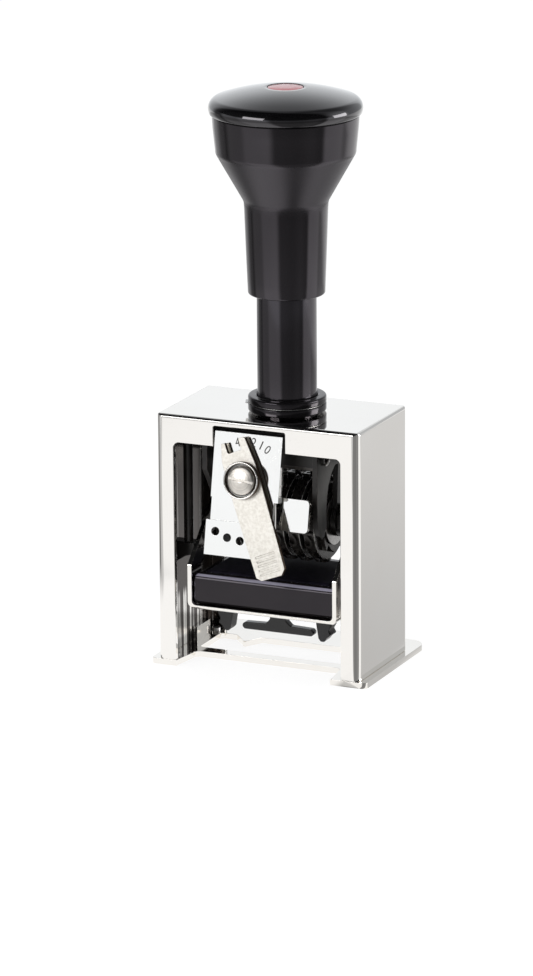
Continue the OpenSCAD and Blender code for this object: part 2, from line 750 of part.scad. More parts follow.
module arm_outline() {
    difference() {
        union() {
            translate([swing_y, swing_z]) circle(3.6);
            polygon(concat(
                arc(front_y - arm_t + 1.4, stirrup_z + 1.4, 1.4, 180, 270, 6),
                [[-6, stirrup_z], [-6, 18.8], [-10.2, 21.6], [-10.2, 25.6], [swing_y + 2.1, swing_z - 2.3],
                    [swing_y - 2.2, swing_z + 2.2]],
                arc(front_y - arm_t + 1.4, arm_front_z, 1.4, 120, 180, 4)));
        }
        translate([swing_y, swing_z]) circle(pin_r + slip);
    }
}
module pad_stirrup() {
    color(nickel) difference() {
        // one bent strip: two arms and the floor under the front of the cassette
        intersection() {
            sideways(arm_left - 1, arm_right - arm_left + 2) arm_outline();
            upright(front_y - 5, 40) difference() {
                soft_box([arm_left, stirrup_z], [arm_right, 60], 2);
                soft_box([arm_left + arm_t, stirrup_z + arm_t], [arm_right - arm_t, 70], 1.2);
            }
        }
        for (x = [arm_left - 1, arm_right - 2]) pin_x(x, rivet_y, rivet_z, 0.91, 3);
    }
}
module stirrup_rivets() {
    color(steel) {
        pin_x(arm_left, rivet_y, rivet_z, 0.9, arm_t + 0.1);
        pin_x(arm_right - arm_t - 0.1, rivet_y, rivet_z, 0.9, arm_t + 0.1);
        translate([arm_left, rivet_y, rivet_z]) rotate([0, -90, 0]) screw_head(1.4, 0.35, 0);
        translate([arm_right, rivet_y, rivet_z]) rotate([0, 90, 0]) screw_head(1.4, 0.35, 0);
    }
}

cass_left = cassette_x - cassette_w / 2;
module ink_cassette() {
    color([0.05, 0.05, 0.06]) difference() {
        intersection() {
            sideways(cass_left, cassette_w) polygon(concat(
                arc(front_y + 1.2, stirrup_z + arm_t + 1.2, 1.2, 180, 270, 5),
                [[8.6, stirrup_z + arm_t], [9.6, stirrup_z + arm_t + 1], [9.6, cassette_top]],
                arc(front_y + 1.6, cassette_top - 1.6, 1.6, 90, 180, 6)));
            upright(front_y - 1, 30)
                soft_box([cass_left, stirrup_z + arm_t], [cass_left + cassette_w, cassette_top], 1.2);
        }
        // tray for the felt
        translate([cass_left + 2, front_y + 2.4, cassette_top - 3]) cube([cassette_w - 4, 20.6, 5]);
    }
}
module ink_pad() {
    color([0.16, 0.13, 0.30]) difference() {
        translate([cass_left + 2.2, front_y + 2.6, cassette_top - 3])
            cube([cassette_w - 4.4, 20.2, pad_top - cassette_top + 3]);
        for (s = [0:1]) translate([0, front_y + 2.6 + s * 20.2, pad_top]) rotate([45, 0, 0])
            cube([80, 0.8, 0.8], center = true);
    }
}
// T grip and two pointed runners under the cassette
grip_y = -3.2;
runner_x = -0.6;
module cassette_grip() {
    top = stirrup_z + arm_t;
    color(black) {
        upright(grip_y, 2.2) union() {
            translate([-2.2, 9]) square([4.4, top - 9]);
            polygon([[-9.6, 8.3], [-9, 7.75], [9, 7.75], [9.6, 8.3], [9.6, 8.9], [9, 9.5], [3.4, 9.7],
                [2.2, 10.9], [-2.2, 10.9], [-3.4, 9.7], [-9, 9.5], [-9.6, 8.9]]);
        }
        for (s = [-1, 1]) translate([runner_x + s * 12.2, 0, 0]) mirror([s < 0 ? 1 : 0, 0, 0])
            upright(grip_y - 0.8, 3.8) polygon([[-1.8, top], [-0.4, 7.8], [0.2, 7], [1.2, 7], [1.9, 8],
                [3, 8.9], [2.4, 10], [3.1, 11.2], [3.1, top]]);
    }
}

case_shell();
base_plate();
base_rivets();
guide_tube();
tube_nut();
stop_ring_lower();
stop_ring_upper();
ring_clip();
guide_rods();
rod_brackets();
swing_pins();
knob_body();
knob_cap();
cap_dot();
plunger_rod();
knob_screw();
return_spring();
carriage_block();
left_cheek();
right_cheek();
cheek_screws();
wheel_axle();
axle_nuts();
front_bracket();
bracket_screws();
detent_comb();
index_plate();
plate_spacers();
pivot_screw();
selector_lever();
pivot_cup();
number_wheel_1();
number_wheel_2();
number_wheel_3();
number_wheel_4();
number_wheel_5();
number_wheel_6();
rocker_yoke();
feed_shaft();
feed_pawls();
pad_stirrup();
stirrup_rivets();
ink_cassette();
cassette_grip();
ink_pad();
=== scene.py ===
# Hand numbering machine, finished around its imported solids.
# Everything is in metres, in the frame of the solids. Profiles and sizes marked so are millimetres.
import json
import math

import bmesh
import bpy
from mathutils import Matrix, Vector

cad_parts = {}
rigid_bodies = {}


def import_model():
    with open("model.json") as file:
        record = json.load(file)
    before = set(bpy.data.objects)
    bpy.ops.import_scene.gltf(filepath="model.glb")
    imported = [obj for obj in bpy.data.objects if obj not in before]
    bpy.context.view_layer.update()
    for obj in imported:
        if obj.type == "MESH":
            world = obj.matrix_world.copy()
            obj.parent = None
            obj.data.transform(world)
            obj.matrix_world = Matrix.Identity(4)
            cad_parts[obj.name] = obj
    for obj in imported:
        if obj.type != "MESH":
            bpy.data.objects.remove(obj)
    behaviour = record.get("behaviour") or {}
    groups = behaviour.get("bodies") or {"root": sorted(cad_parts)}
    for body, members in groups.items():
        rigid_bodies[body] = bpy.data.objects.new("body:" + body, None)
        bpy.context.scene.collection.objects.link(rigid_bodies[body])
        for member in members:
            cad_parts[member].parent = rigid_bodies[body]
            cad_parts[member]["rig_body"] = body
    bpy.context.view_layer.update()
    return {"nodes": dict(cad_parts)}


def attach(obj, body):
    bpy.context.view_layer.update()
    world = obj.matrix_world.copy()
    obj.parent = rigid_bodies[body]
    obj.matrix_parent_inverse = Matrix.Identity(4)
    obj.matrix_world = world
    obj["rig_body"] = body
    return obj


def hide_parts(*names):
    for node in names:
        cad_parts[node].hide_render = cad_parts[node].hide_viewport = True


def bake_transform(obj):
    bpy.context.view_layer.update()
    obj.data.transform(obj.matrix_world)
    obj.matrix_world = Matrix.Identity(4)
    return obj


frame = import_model()
scene = bpy.context.scene

# ---------- Camera ----------
# A long lens, to the right of the front and a little above the machine. It is rolled very
# slightly, and colours go into the picture as they are.

LOOK_AZIMUTH, LOOK_HEIGHT, LOOK_ROLL = (math.radians(a) for a in (24.138, 15.259, -0.403))
LOOK_DISTANCE = 1.40116
LOOK_AT = Vector((-0.00418, 0, 0.04353))
LENS, SENSOR_WIDTH = 210.25, 36


def direction(azimuth, height):
    """A unit vector from an azimuth, counted from the front to the right, and a height, in radians."""
    return Vector((math.sin(azimuth) * math.cos(height), -math.cos(azimuth) * math.cos(height), math.sin(height)))


camera = bpy.data.objects.new("camera", bpy.data.cameras.new("camera"))
scene.collection.objects.link(camera)
back = direction(LOOK_AZIMUTH, LOOK_HEIGHT)
level = Vector((math.cos(LOOK_AZIMUTH), math.sin(LOOK_AZIMUTH), 0))
upward = back.cross(level)
right = level * math.cos(LOOK_ROLL) + upward * math.sin(LOOK_ROLL)
top = upward * math.cos(LOOK_ROLL) - level * math.sin(LOOK_ROLL)
facing_machine = Matrix((right, top, back)).transposed().to_4x4()
camera.matrix_world = Matrix.Translation(LOOK_AT + back * LOOK_DISTANCE) @ facing_machine
camera.data.sensor_width = SENSOR_WIDTH
camera.data.lens = LENS
camera.data.clip_start = 0.05
camera.data.clip_end = 20
scene.camera = camera
scene.view_settings.view_transform = "Standard"

# ---------- Floor and light ----------
# A white table in a white studio, with one wide lamp at the front left and one at the right. What
# metal and gloss see of it is bright at the front left, the right and behind, and dimmer at the
# front right and overhead, so that black gloss keeps its black and its two lamp highlights.


class Wiring:
    """The nodes and links of one tree. What feeds an input is a number, a colour or a socket."""

    def __init__(self, tree):
        self.nodes, self.links = tree.nodes, tree.links

    def feed(self, socket, value):
        if isinstance(value, bpy.types.NodeSocket):
            self.links.new(value, socket)
        else:
            socket.default_value = value

    def add(self, kind, *values, operation=None, **named):
        """A new node, with its first inputs fed in their order and others by name."""
        node = self.nodes.new(kind)
        if operation:
            node.operation = operation
        for socket, value in zip(node.inputs, values):
            self.feed(socket, value)
        for name, value in named.items():
            self.feed(node.inputs[name.replace("_", " ")], value)
        return node

    def math(self, operation, a, b=0.0):
        return self.add("ShaderNodeMath", a, b, operation=operation).outputs[0]

    def times(self, a, b):
        return self.math("MULTIPLY", a, b)

    def vector(self, operation, *sides):
        """Vector arithmetic; lengths and dot products are plain values."""
        node = self.add("ShaderNodeVectorMath", *sides, operation=operation)
        return node.outputs["Value" if operation in ("LENGTH", "DOT_PRODUCT") else "Vector"]

    def ramp(self, source, low, high, to_low=0.0, to_high=1.0):
        """A smooth step of a value between two limits."""
        step = self.add("ShaderNodeMapRange", Value=source, From_Min=low, From_Max=high, To_Min=to_low,
                        To_Max=to_high)
        step.interpolation_type = "SMOOTHSTEP"
        return step.outputs[0]

    def parts(self, vector):
        return self.add("ShaderNodeSeparateXYZ", vector).outputs

    def here(self, what="Object"):
        """Where a point lies on its piece, or which way its face looks."""
        return self.add("ShaderNodeTexCoord").outputs[what]

    def noise(self, vector, scale, detail=3.0, rough=0.5, warp=0.0):
        return self.add("ShaderNodeTexNoise", Vector=vector, Scale=scale, Detail=detail, Roughness=rough,
                        Distortion=warp).outputs["Fac"]

    def blend(self, mask, a, b, kind="RGBA", way="MIX"):
        """One value or colour that turns into another where a mask is 1. A Mix node has its own
        sockets for each kind, all under the same names, so these are picked by number."""
        side_a, side_b, result = {"RGBA": (6, 7, 2), "FLOAT": (2, 3, 0)}[kind]
        mix = self.nodes.new("ShaderNodeMix")
        mix.data_type, mix.blend_type = kind, way
        for slot, value in ((0, mask), (side_a, a), (side_b, b)):
            self.feed(mix.inputs[slot], value)
        return mix.outputs[result]

    def either(self, switch, shader_off, shader_on):
        return self.add("ShaderNodeMixShader", switch, shader_off, shader_on).outputs[0]


def new_material(name):
    material = bpy.data.materials.new(name)
    material.use_nodes = True
    material.node_tree.nodes.clear()
    return material, Wiring(material.node_tree)


# Direction in degrees from the front, positive to the right, and how bright the studio is there
STUDIO_TONES = (
    (-180, 0.9), (-150, 1.0), (-118, 0.75), (-100, 0.12), (-90, 0.12), (-78, 0.55), (-56, 0.6), (-46, 0.97),
    (-10, 1.0), (4, 0.24), (40, 0.20), (66, 0.26), (84, 0.20), (93, 1.0), (124, 1.0), (134, 0.53),
    (172, 0.53), (180, 0.85))


def studio_tone(g, towards):
    """Brightness by direction round the machine, and the parts of the direction or position given."""
    parts = g.parts(towards)
    angle = g.math("ARCTAN2", parts["X"], g.times(parts["Y"], -1.0))
    tones = g.add("ShaderNodeValToRGB", g.math("ADD", g.times(angle, 0.5 / math.pi), 0.5))
    tones.color_ramp.interpolation = "EASE"
    stops = tones.color_ramp.elements
    while len(stops) < len(STUDIO_TONES):
        stops.new(0.5)
    for stop, (degrees, tone) in zip(stops, STUDIO_TONES):
        stop.position = degrees / 360 + 0.5
        stop.color = (tone, tone, tone, 1)
    return tones.outputs["Color"], parts


CASE_CORNER = (0.027, -0.0154, 0)
TABLE_GLOW, SHADOW_GREY, PAPER_GREY = 0.86, (0.30, 0.30, 0.30, 1), (0.8, 0.8, 0.8, 1)


def table_top():
    """A table that is plain white to the camera and toned like the studio in a reflection."""
    material, g = new_material("white_table")
    rays = g.add("ShaderNodeLightPath").outputs

    # as metal and gloss see it, from the case's front right corner: dimmer far off, brighter
    # beside and behind the case, and white close in front of it and far behind
    from_corner = g.vector("SUBTRACT", g.here(), CASE_CORNER)
    tone, parts = studio_tone(g, from_corner)
    reach = g.vector("LENGTH", from_corner)
    dimmed = g.times(tone, g.ramp(reach, 0.27, 0.40, 1.0, 0.62))
    lift = g.times(g.ramp(reach, 0.0, 0.25, 0.0, 0.14), g.ramp(parts["Y"], -0.02, 0.03))
    near_left = g.times(g.ramp(parts["X"], -0.002, -0.008), g.ramp(reach, 0.16, 0.10))
    far_behind = g.ramp(parts["Y"], 0.24, 0.42)
    bright = g.math("MAXIMUM", g.math("MAXIMUM", g.math("ADD", dimmed, lift), far_behind), near_left)
    in_gloss = g.add("ShaderNodeEmission", Strength=g.math("MINIMUM", bright, 1.0)).outputs[0]

    # as the camera sees it: white, with a faint shadow of the machine
    glow = g.add("ShaderNodeEmission", Strength=TABLE_GLOW).outputs[0]
    seen = g.add("ShaderNodeAddShader", glow, g.add("ShaderNodeBsdfDiffuse", SHADOW_GREY).outputs[0]).outputs[0]

    paper = g.add("ShaderNodeBsdfDiffuse", PAPER_GREY).outputs[0]
    unseen = g.either(rays["Is Glossy Ray"], paper, in_gloss)
    g.add("ShaderNodeOutputMaterial", g.either(rays["Is Camera Ray"], unseen, seen))
    return material


TABLE_HALF = 1.5
table = bpy.data.meshes.new("table")
table.from_pydata([(x * TABLE_HALF, y * TABLE_HALF, 0) for x, y in ((-1, -1), (1, -1), (1, 1), (-1, 1))],
                  [], [(0, 1, 2, 3)])
table.materials.append(table_top())
floor = bpy.data.objects.new("floor", table)
scene.collection.objects.link(floor)

world = bpy.data.worlds.new("white_studio")
world.use_nodes = True
world.node_tree.nodes.clear()
scene.world = world
room = Wiring(world.node_tree)


def background(colour, strength):
    return room.add("ShaderNodeBackground", (*colour, 1), strength).outputs[0]


tone, parts = studio_tone(room, room.here("Generated"))
overhead = room.ramp(parts["Z"], 0.30, 0.85, 1.0, 0.22)
low, behind = room.ramp(parts["Z"], 0.13, 0.18, 1.0, 0.06), room.ramp(parts["Y"], -0.10, 0.30)
low_or_behind = room.math("MAXIMUM", low, behind)
seen_in_gloss = background((0.95, 0.975, 1.0), room.times(tone, room.times(overhead, low_or_behind)))
gives_light = background((0.98, 0.99, 1.0), 0.50)
seen_by_camera = background((1, 1, 1), 1.0)
rays = room.add("ShaderNodeLightPath").outputs
unseen = room.either(rays["Is Glossy Ray"], gives_light, seen_in_gloss)
room.add("ShaderNodeOutputWorld", room.either(rays["Is Camera Ray"], unseen, seen_by_camera))

LAMP_AIM, LAMP_DISTANCE = Vector((0, 0, 0.08)), 1.1


def soft_lamp(name, azimuth, height, width, tall, watts):
    """A flat lamp that looks at the machine from that direction, in degrees."""
    away = direction(math.radians(azimuth), math.radians(height))
    lamp = bpy.data.objects.new(name, bpy.data.lights.new(name, "AREA"))
    lamp.data.shape = "RECTANGLE"
    lamp.data.size, lamp.data.size_y = width, tall
    lamp.data.energy = watts
    lamp.rotation_euler = away.to_track_quat("Z", "Y").to_euler()
    lamp.location = LAMP_AIM + away * LAMP_DISTANCE
    scene.collection.objects.link(lamp)


soft_lamp("left_lamp", azimuth=-26, height=18, width=0.64, tall=0.36, watts=3.4)
soft_lamp("right_lamp", azimuth=112, height=10, width=0.50, tall=0.40, watts=3.0)

# ---------- Base plate ----------
# Nickel-plated sheet, blanked with a bar in front, a window for the figures and a start pointer.
# Its cut edges are slightly rounded, and two ears are folded up inside the case walls.


def shader_group(name, output, output_kind, **inputs):
    """A shader node group with named inputs and their usual values, and one output."""
    tree = bpy.data.node_groups.new(name, "ShaderNodeTree")
    for label, value in inputs.items():
        kind = "NodeSocketColor" if isinstance(value, tuple) else "NodeSocketFloat"
        socket = tree.interface.new_socket(label.replace("_", " "), in_out="INPUT", socket_type=kind)
        socket.default_value = value
    tree.interface.new_socket(output, in_out="OUTPUT", socket_type="NodeSocket" + output_kind)
    g = Wiring(tree)
    return tree, g, g.add("NodeGroupInput").outputs


def hairlines_group():
    """Fine polishing hairlines in two directions, mostly faint, with a few deeper ones."""
    tree, g, given = shader_group("hairlines", "Height", "Float", Scale=150.0)
    heights = []
    for turn, stretch in (((0.1, 0.2, 0.3), (1.0, 26.0, 26.0)), ((0.5, -0.3, 1.2), (22.0, 1.0, 22.0))):
        drawn_out = g.add("ShaderNodeMapping", Vector=g.here(), Rotation=turn, Scale=stretch).outputs[0]
        heights.append(g.ramp(g.noise(drawn_out, given["Scale"], 4.0, 0.6), 0.60, 0.70))
    patches = g.ramp(g.noise(g.here(), 90.0, 2.0), 0.35, 0.70)
    faded = g.times(g.math("MAXIMUM", *heights), patches)
    g.add("NodeGroupOutput", g.math("SUBTRACT", 1.0, faded))
    return tree


def handling_group():
    """Soft dull patches, as left by fingers and polishing cloths."""
    tree, g, given = shader_group("handling", "Roughness", "Float", Low=0.1, High=0.2, Scale=60.0)
    patches = g.noise(g.here(), given["Scale"], 4.0, 0.55, 0.4)
    g.add("NodeGroupOutput", g.add("ShaderNodeMapRange", Value=patches, From_Min=0.35, From_Max=0.68,
                                   To_Min=given["Low"], To_Max=given["High"]).outputs[0])
    return tree


def worn_edges_group():
    """A mask along outside edges, broken up so that it is uneven. On most finishes it lays wear; on the cassette it
    lays a painted highlight and on the lever painted shade.
    """
    tree, g, given = shader_group("edge wear and painted light", "Mask", "Float", Reach=0.0003)
    round_off = g.add("ShaderNodeBevel", given["Reach"])
    round_off.samples = 6
    flat = g.add("ShaderNodeNewGeometry").outputs["Normal"]
    edge = g.ramp(g.vector("DOT_PRODUCT", round_off.outputs[0], flat), 0.995, 0.90)
    broken = g.ramp(g.noise(g.here(), 700.0), 0.40, 0.62)
    g.add("NodeGroupOutput", g.times(edge, broken))
    return tree


def mottle_group():
    """A colour that drifts between two shades over the surface."""
    tree, g, given = shader_group("mottle", "Color", "Color", Shade=(0.5, 0.5, 0.5, 1),
                                  Other_shade=(0.6, 0.6, 0.6, 1), Scale=100.0)
    drift = g.ramp(g.noise(g.here(), given["Scale"], 5.0, 0.6), 0.35, 0.65)
    g.add("NodeGroupOutput", g.blend(drift, given["Shade"], given["Other shade"]))
    return tree


HAIRLINES, HANDLING, EDGE_WEAR_AND_PAINTED_LIGHT, MOTTLE = hairlines_group(), handling_group(), worn_edges_group(), mottle_group()
MM = 0.001
HAIRLINE_DEPTH, GRAIN_DEPTH = 0.02 * MM, 0.03 * MM


def embossed(g, shader, height, strength, depth):
    """Lays a relief over what already shapes a shader's normal."""
    bump = g.add("ShaderNodeBump", Strength=strength, Distance=depth, Height=height)
    normal = shader.inputs["Normal"]
    if normal.links:
        g.feed(bump.inputs["Normal"], normal.links[0].from_socket)
    g.feed(normal, bump.outputs[0])


def finish(name, shade, other_shade, rough, metal=0.0, grain=0.0, grain_scale=1500.0, lines=0.0, edge_shade=None,
           edge_reach=0.0003, mottle_scale=100.0, patch_scale=60.0, coat=0.0, specular=0.5, sheen=(1.0, 1.0, 1.0)):
    """A material with drifting colour, uneven roughness, hairlines, grain and an edge colour, each as given. The
    edge colour is wear on most finishes and painted light on the cassette and the lever.
    """
    material, g = new_material(name)

    def placed(tree, **values):
        group = g.nodes.new("ShaderNodeGroup")
        group.node_tree = tree
        for label, value in values.items():
            group.inputs[label.replace("_", " ")].default_value = value
        return group.outputs[0]

    colour = placed(MOTTLE, Shade=(*shade, 1), Other_shade=(*other_shade, 1), Scale=mottle_scale)
    if edge_shade:
        colour = g.blend(placed(EDGE_WEAR_AND_PAINTED_LIGHT, Reach=edge_reach), colour, (*edge_shade, 1))
    shader = g.add("ShaderNodeBsdfPrincipled", Base_Color=colour, Metallic=metal, Coat_Weight=coat,
                   Coat_Roughness=0.04, Specular_IOR_Level=specular, Specular_Tint=(*sheen, 1),
                   Roughness=placed(HANDLING, Low=rough[0], High=rough[1], Scale=patch_scale))
    if lines:
        embossed(g, shader, placed(HAIRLINES), lines, HAIRLINE_DEPTH)
    if grain:
        embossed(g, shader, g.noise(g.here(), grain_scale, 4.0, 0.65), grain, GRAIN_DEPTH)
    g.add("ShaderNodeOutputMaterial", shader.outputs[0])
    return material


def piece_from(name, mesh, material, body, slot, *nodes):
    """A finished piece at the origin that rides on a body, if one is given, and stands for CAD nodes."""
    mesh.name = name
    mesh.materials.clear()
    mesh.materials.append(material)
    piece = bpy.data.objects.new(name, mesh)
    scene.collection.objects.link(piece)
    if body:
        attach(piece, body)
    if nodes:
        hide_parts(*nodes)
    return piece


def held(data):
    """An object that holds a mesh or a text while it is worked on."""
    holder = bpy.data.objects.new("holder", data)
    scene.collection.objects.link(holder)
    return holder


def taken_from(holder, *tools):
    """The plain mesh of a holder with its modifiers applied; the holder and its tools go."""
    graph = bpy.context.evaluated_depsgraph_get()
    mesh = bpy.data.meshes.new_from_object(holder.evaluated_get(graph), depsgraph=graph)
    for thing in (holder, *tools):
        bpy.data.objects.remove(thing)
    return mesh


def modify(holder, kind, **settings):
    modifier = holder.modifiers.new("made", kind)
    for key, value in settings.items():
        setattr(modifier, key, value)
    return holder


def smoothed(mesh, sharp):
    """Smooth shading, with edges sharper than an angle in degrees kept crisp."""
    mesh.shade_smooth()
    mesh.set_sharp_from_angle(angle=math.radians(sharp))
    return mesh


def eased_mesh(node, ease, steps=2, bend=None):
    """A node's own mesh, perhaps bent, with its corners rounded off by a radius in millimetres."""
    bm = bmesh.new()
    bm.from_mesh(frame["nodes"][node].data)
    bmesh.ops.remove_doubles(bm, verts=bm.verts, dist=2e-6)
    bmesh.ops.dissolve_limit(bm, angle_limit=math.radians(0.6), verts=bm.verts, edges=bm.edges,
                             use_dissolve_boundaries=False)
    if bend:
        bend(bm)
    plain = bpy.data.meshes.new(node)
    bm.to_mesh(plain)
    bm.free()
    eased = taken_from(modify(held(plain), "BEVEL", width=ease * MM, segments=steps, limit_method="ANGLE",
                              angle_limit=math.radians(32), miter_outer="MITER_ARC"))
    return taken_from(modify(held(smoothed(eased, 38)), "WEIGHTED_NORMAL", keep_sharp=True))


def eased_piece(name, node, ease, material, slot, steps=2, bend=None):
    body = frame["nodes"][node]["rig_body"]
    return piece_from(name, eased_mesh(node, ease, steps, bend), material, body, slot, node)


def dressed(node, material):
    """A CAD node that stays as it is, with a better material."""
    slots = frame["nodes"][node].data.materials
    slots.clear()
    slots.append(material)


bright_nickel = finish("bright_nickel", (0.93, 0.905, 0.865), (0.90, 0.87, 0.825), (0.05, 0.11), 1.0, lines=0.25,
                       mottle_scale=30.0, edge_shade=(0.97, 0.95, 0.92))
eased_piece("base_sheet", "base_plate", 0.32, bright_nickel, "nickel_case", steps=3)

# ---------- Rivets of the base ----------
# Four turned steel rivets through the base plate, just inside the case's side walls. Their flat
# heads are closed from above.

turned_steel = finish("turned_steel", (0.56, 0.55, 0.54), (0.44, 0.43, 0.42), (0.22, 0.36), 1.0, lines=0.5,
                      grain=0.15, edge_shade=(0.85, 0.84, 0.82))
eased_piece("base_rivet_set", "base_rivets", 0.15, turned_steel, "steel")

# ---------- Case ----------
# One bent sheet, polished and plated: two side walls and a top, with a front and a rear that are
# opened almost to the corners, and a notch in the front band for the dial plate.

case_nickel = finish("case_nickel", (0.935, 0.915, 0.885), (0.92, 0.895, 0.86), (0.035, 0.07), 1.0, lines=0.14,
                     mottle_scale=22.0, edge_shade=(0.97, 0.955, 0.93), edge_reach=0.0004)


def opened(material):
    """A finished material's wiring and its shader."""
    shader = next(n for n in material.node_tree.nodes if n.type == "BSDF_PRINCIPLED")
    return Wiring(material.node_tree), shader


def repainted(material, mask, shade, rough=None):
    """Lays a shade and a roughness over a material where a mask is 1."""
    g, shader = opened(material)
    for key, kind, value in (("Base Color", "RGBA", shade), ("Roughness", "FLOAT", rough)):
        if value is not None:
            socket = shader.inputs[key]
            g.feed(socket, g.blend(mask, socket.links[0].from_socket, value, kind))


INNER_REFLECTION_DARK, INNER_REFLECTION_BRIGHT = (0.050, 0.042, 0.038, 1), (0.95, 0.93, 0.90, 1)


def rolled_inside(material, half_x, half_y, top, bright_to):
    """Paints a reflection over what lies inside a box round the z axis: dark, as the black mechanism
    that it faces, with upright streaks drawn out by rolling marks, many of them bright below a height."""
    g = opened(material)[0]
    parts, edge = g.parts(g.here()), 0.2 * MM
    inside = g.ramp(parts["Z"], top + edge, top)
    for axis, half in (("X", half_x), ("Y", half_y)):
        inside = g.times(inside, g.ramp(g.math("ABSOLUTE", parts[axis]), half + edge, half))
    upright = g.add("ShaderNodeMapping", Vector=g.here(), Scale=(1.0, 1.0, 0.02)).outputs[0]
    marks = g.noise(upright, 620.0, 3.0, 0.55)
    few = g.ramp(marks, 0.60, 0.66, 0.0, 0.30)
    many = g.times(g.ramp(marks, 0.46, 0.53), g.ramp(parts["Y"], -0.008, -0.004))
    low = g.ramp(parts["Z"], bright_to + 0.002, bright_to - 0.001)
    reflected_streaks = g.math("MAXIMUM", few, g.times(many, low))
    repainted(material, inside, g.blend(reflected_streaks, INNER_REFLECTION_DARK, INNER_REFLECTION_BRIGHT), 0.16)


# The inner walls carry a painted reflection: dark above, with bright upright streaks low down.
rolled_inside(case_nickel, half_x=0.02555, half_y=0.01395, top=0.06255, bright_to=0.015)
eased_piece("case_sheet", "case_shell", 0.3, case_nickel, "nickel_case", steps=3)

# ---------- Guide rods, brackets and hinge pins ----------
# Two blackened rods on which the carriage slides, in blackened brackets on the case walls, and two
# turned steel pins with collars, from which the ink cassette hangs.

blackened = finish("blackened_steel", (0.010, 0.0088, 0.0080), (0.019, 0.0165, 0.0150), (0.24, 0.38), grain=0.35,
                   lines=0.2, edge_shade=(0.22, 0.20, 0.18), edge_reach=0.00018, mottle_scale=240.0, specular=0.4)
dressed("guide_rods", blackened)
eased_piece("rod_bracket_pair", "rod_brackets", 0.25, blackened, "black_metal")
eased_piece("hinge_pin_pair", "swing_pins", 0.12, turned_steel, "steel")

# ---------- Guide tube, stop ring and nut ----------
# A moulded black tube stands on the case. Two black half rings clip round its foot with a thin
# steel spring between them, and a steel nut holds the tube from inside.


def geometry_tree(name, **inputs):
    """A geometry tree that takes a mesh, named inputs and a material."""
    tree = bpy.data.node_groups.new(name, "GeometryNodeTree")
    for label, kind in (("Geometry", "Geometry"), *inputs.items(), ("Material", "Material")):
        tree.interface.new_socket(label.replace("_", " "), in_out="INPUT", socket_type="NodeSocket" + kind)
    tree.interface.new_socket("Geometry", in_out="OUTPUT", socket_type="NodeSocketGeometry")
    g = Wiring(tree)
    return tree, g, g.add("NodeGroupInput").outputs


def end_tree(g, geometry, material):
    """Ends a geometry tree in real geometry of one material."""
    real = g.add("GeometryNodeRealizeInstances", geometry).outputs[0]
    g.add("NodeGroupOutput", g.add("GeometryNodeSetMaterial", Geometry=real, Material=material).outputs[0])


def turned_tree():
    """Turns a profile, drawn as radius in x and minus height in y, round the z axis."""
    tree, g, given = geometry_tree("turned part", Segments="Int")
    profile = g.add("GeometryNodeMeshToCurve", given["Geometry"]).outputs[0]
    path = g.add("GeometryNodeCurvePrimitiveCircle", Resolution=given["Segments"], Radius=1e-7).outputs["Curve"]
    swept = g.add("GeometryNodeCurveToMesh", Curve=path, Profile_Curve=profile).outputs[0]
    welded = g.add("GeometryNodeMergeByDistance", Geometry=swept, Distance=1e-6).outputs[0]
    end_tree(g, welded, given["Material"])
    return tree


def mesh_of(source, tree, **values):
    """The plain mesh that a geometry tree makes of a mesh."""
    holder = held(source)
    made = holder.modifiers.new("made", "NODES")
    made.node_group = tree
    sockets = {s.name: s.identifier for s in tree.interface.items_tree if s.in_out == "INPUT"}
    for label, value in values.items():
        made[sockets[label.replace("_", " ")]] = value
    return taken_from(holder)


def merged(mesh):
    """Joins doubled points and turns the faces outwards."""
    bm = bmesh.new()
    bm.from_mesh(mesh)
    bmesh.ops.remove_doubles(bm, verts=bm.verts, dist=1e-6)
    bmesh.ops.recalc_face_normals(bm, faces=bm.faces)
    bm.to_mesh(mesh)
    bm.free()
    return mesh


def arc(cx, cz, radius, start, end, count):
    """Points on an arc of a profile, in millimetres and degrees."""
    turns = [math.radians(start + (end - start) * i / count) for i in range(count + 1)]
    return [(cx + radius * math.cos(t), cz + radius * math.sin(t)) for t in turns]


TURNED = turned_tree()


def turned_mesh(profile, material, place, segments=128, sharp=40):
    """A turned part from points (radius, height) in millimetres, stood at a place in metres."""
    line = bpy.data.meshes.new("profile")
    steps = [(i, i + 1) for i in range(len(profile) - 1)]
    line.from_pydata([(r * MM, -h * MM, 0) for r, h in profile], steps, [])
    mesh = merged(mesh_of(line, TURNED, Segments=segments, Material=material))
    mesh.transform(place)
    return smoothed(mesh, sharp)


PLUNGER = Matrix.Translation((2.0 * MM, -1.0 * MM, 0))


def turned_piece(name, profile, material, body, slot, node, segments=128):
    """A turned piece round the plunger's axis."""
    return piece_from(name, turned_mesh(profile, material, PLUNGER, segments), material, body, slot, node)


VIOLET_SHEEN = (0.98, 0.90, 1.0)
tube_black = finish("tube_black", (0.0050, 0.0047, 0.0052), (0.0070, 0.0066, 0.0073), (0.10, 0.15), grain=0.05,
                    grain_scale=420.0, mottle_scale=60.0, patch_scale=90.0, specular=0.9, sheen=VIOLET_SHEEN)
tube_outside = [(7.3, 64.0), (7.3, 103.2), (7.1, 103.8), (6.8, 104.0)]
tube_inside = [(6.45, 104.0), (6.2, 103.7), (6.2, 68.0), (3.56, 68.0), (3.56, 60.8)]
tube_foot = [(6.6, 60.8), (6.8, 61.0), (6.8, 64.0), (7.3, 64.0)]
turned_piece("guide_sleeve", tube_outside + tube_inside + tube_foot, tube_black, "case", "knob_black", "guide_tube")

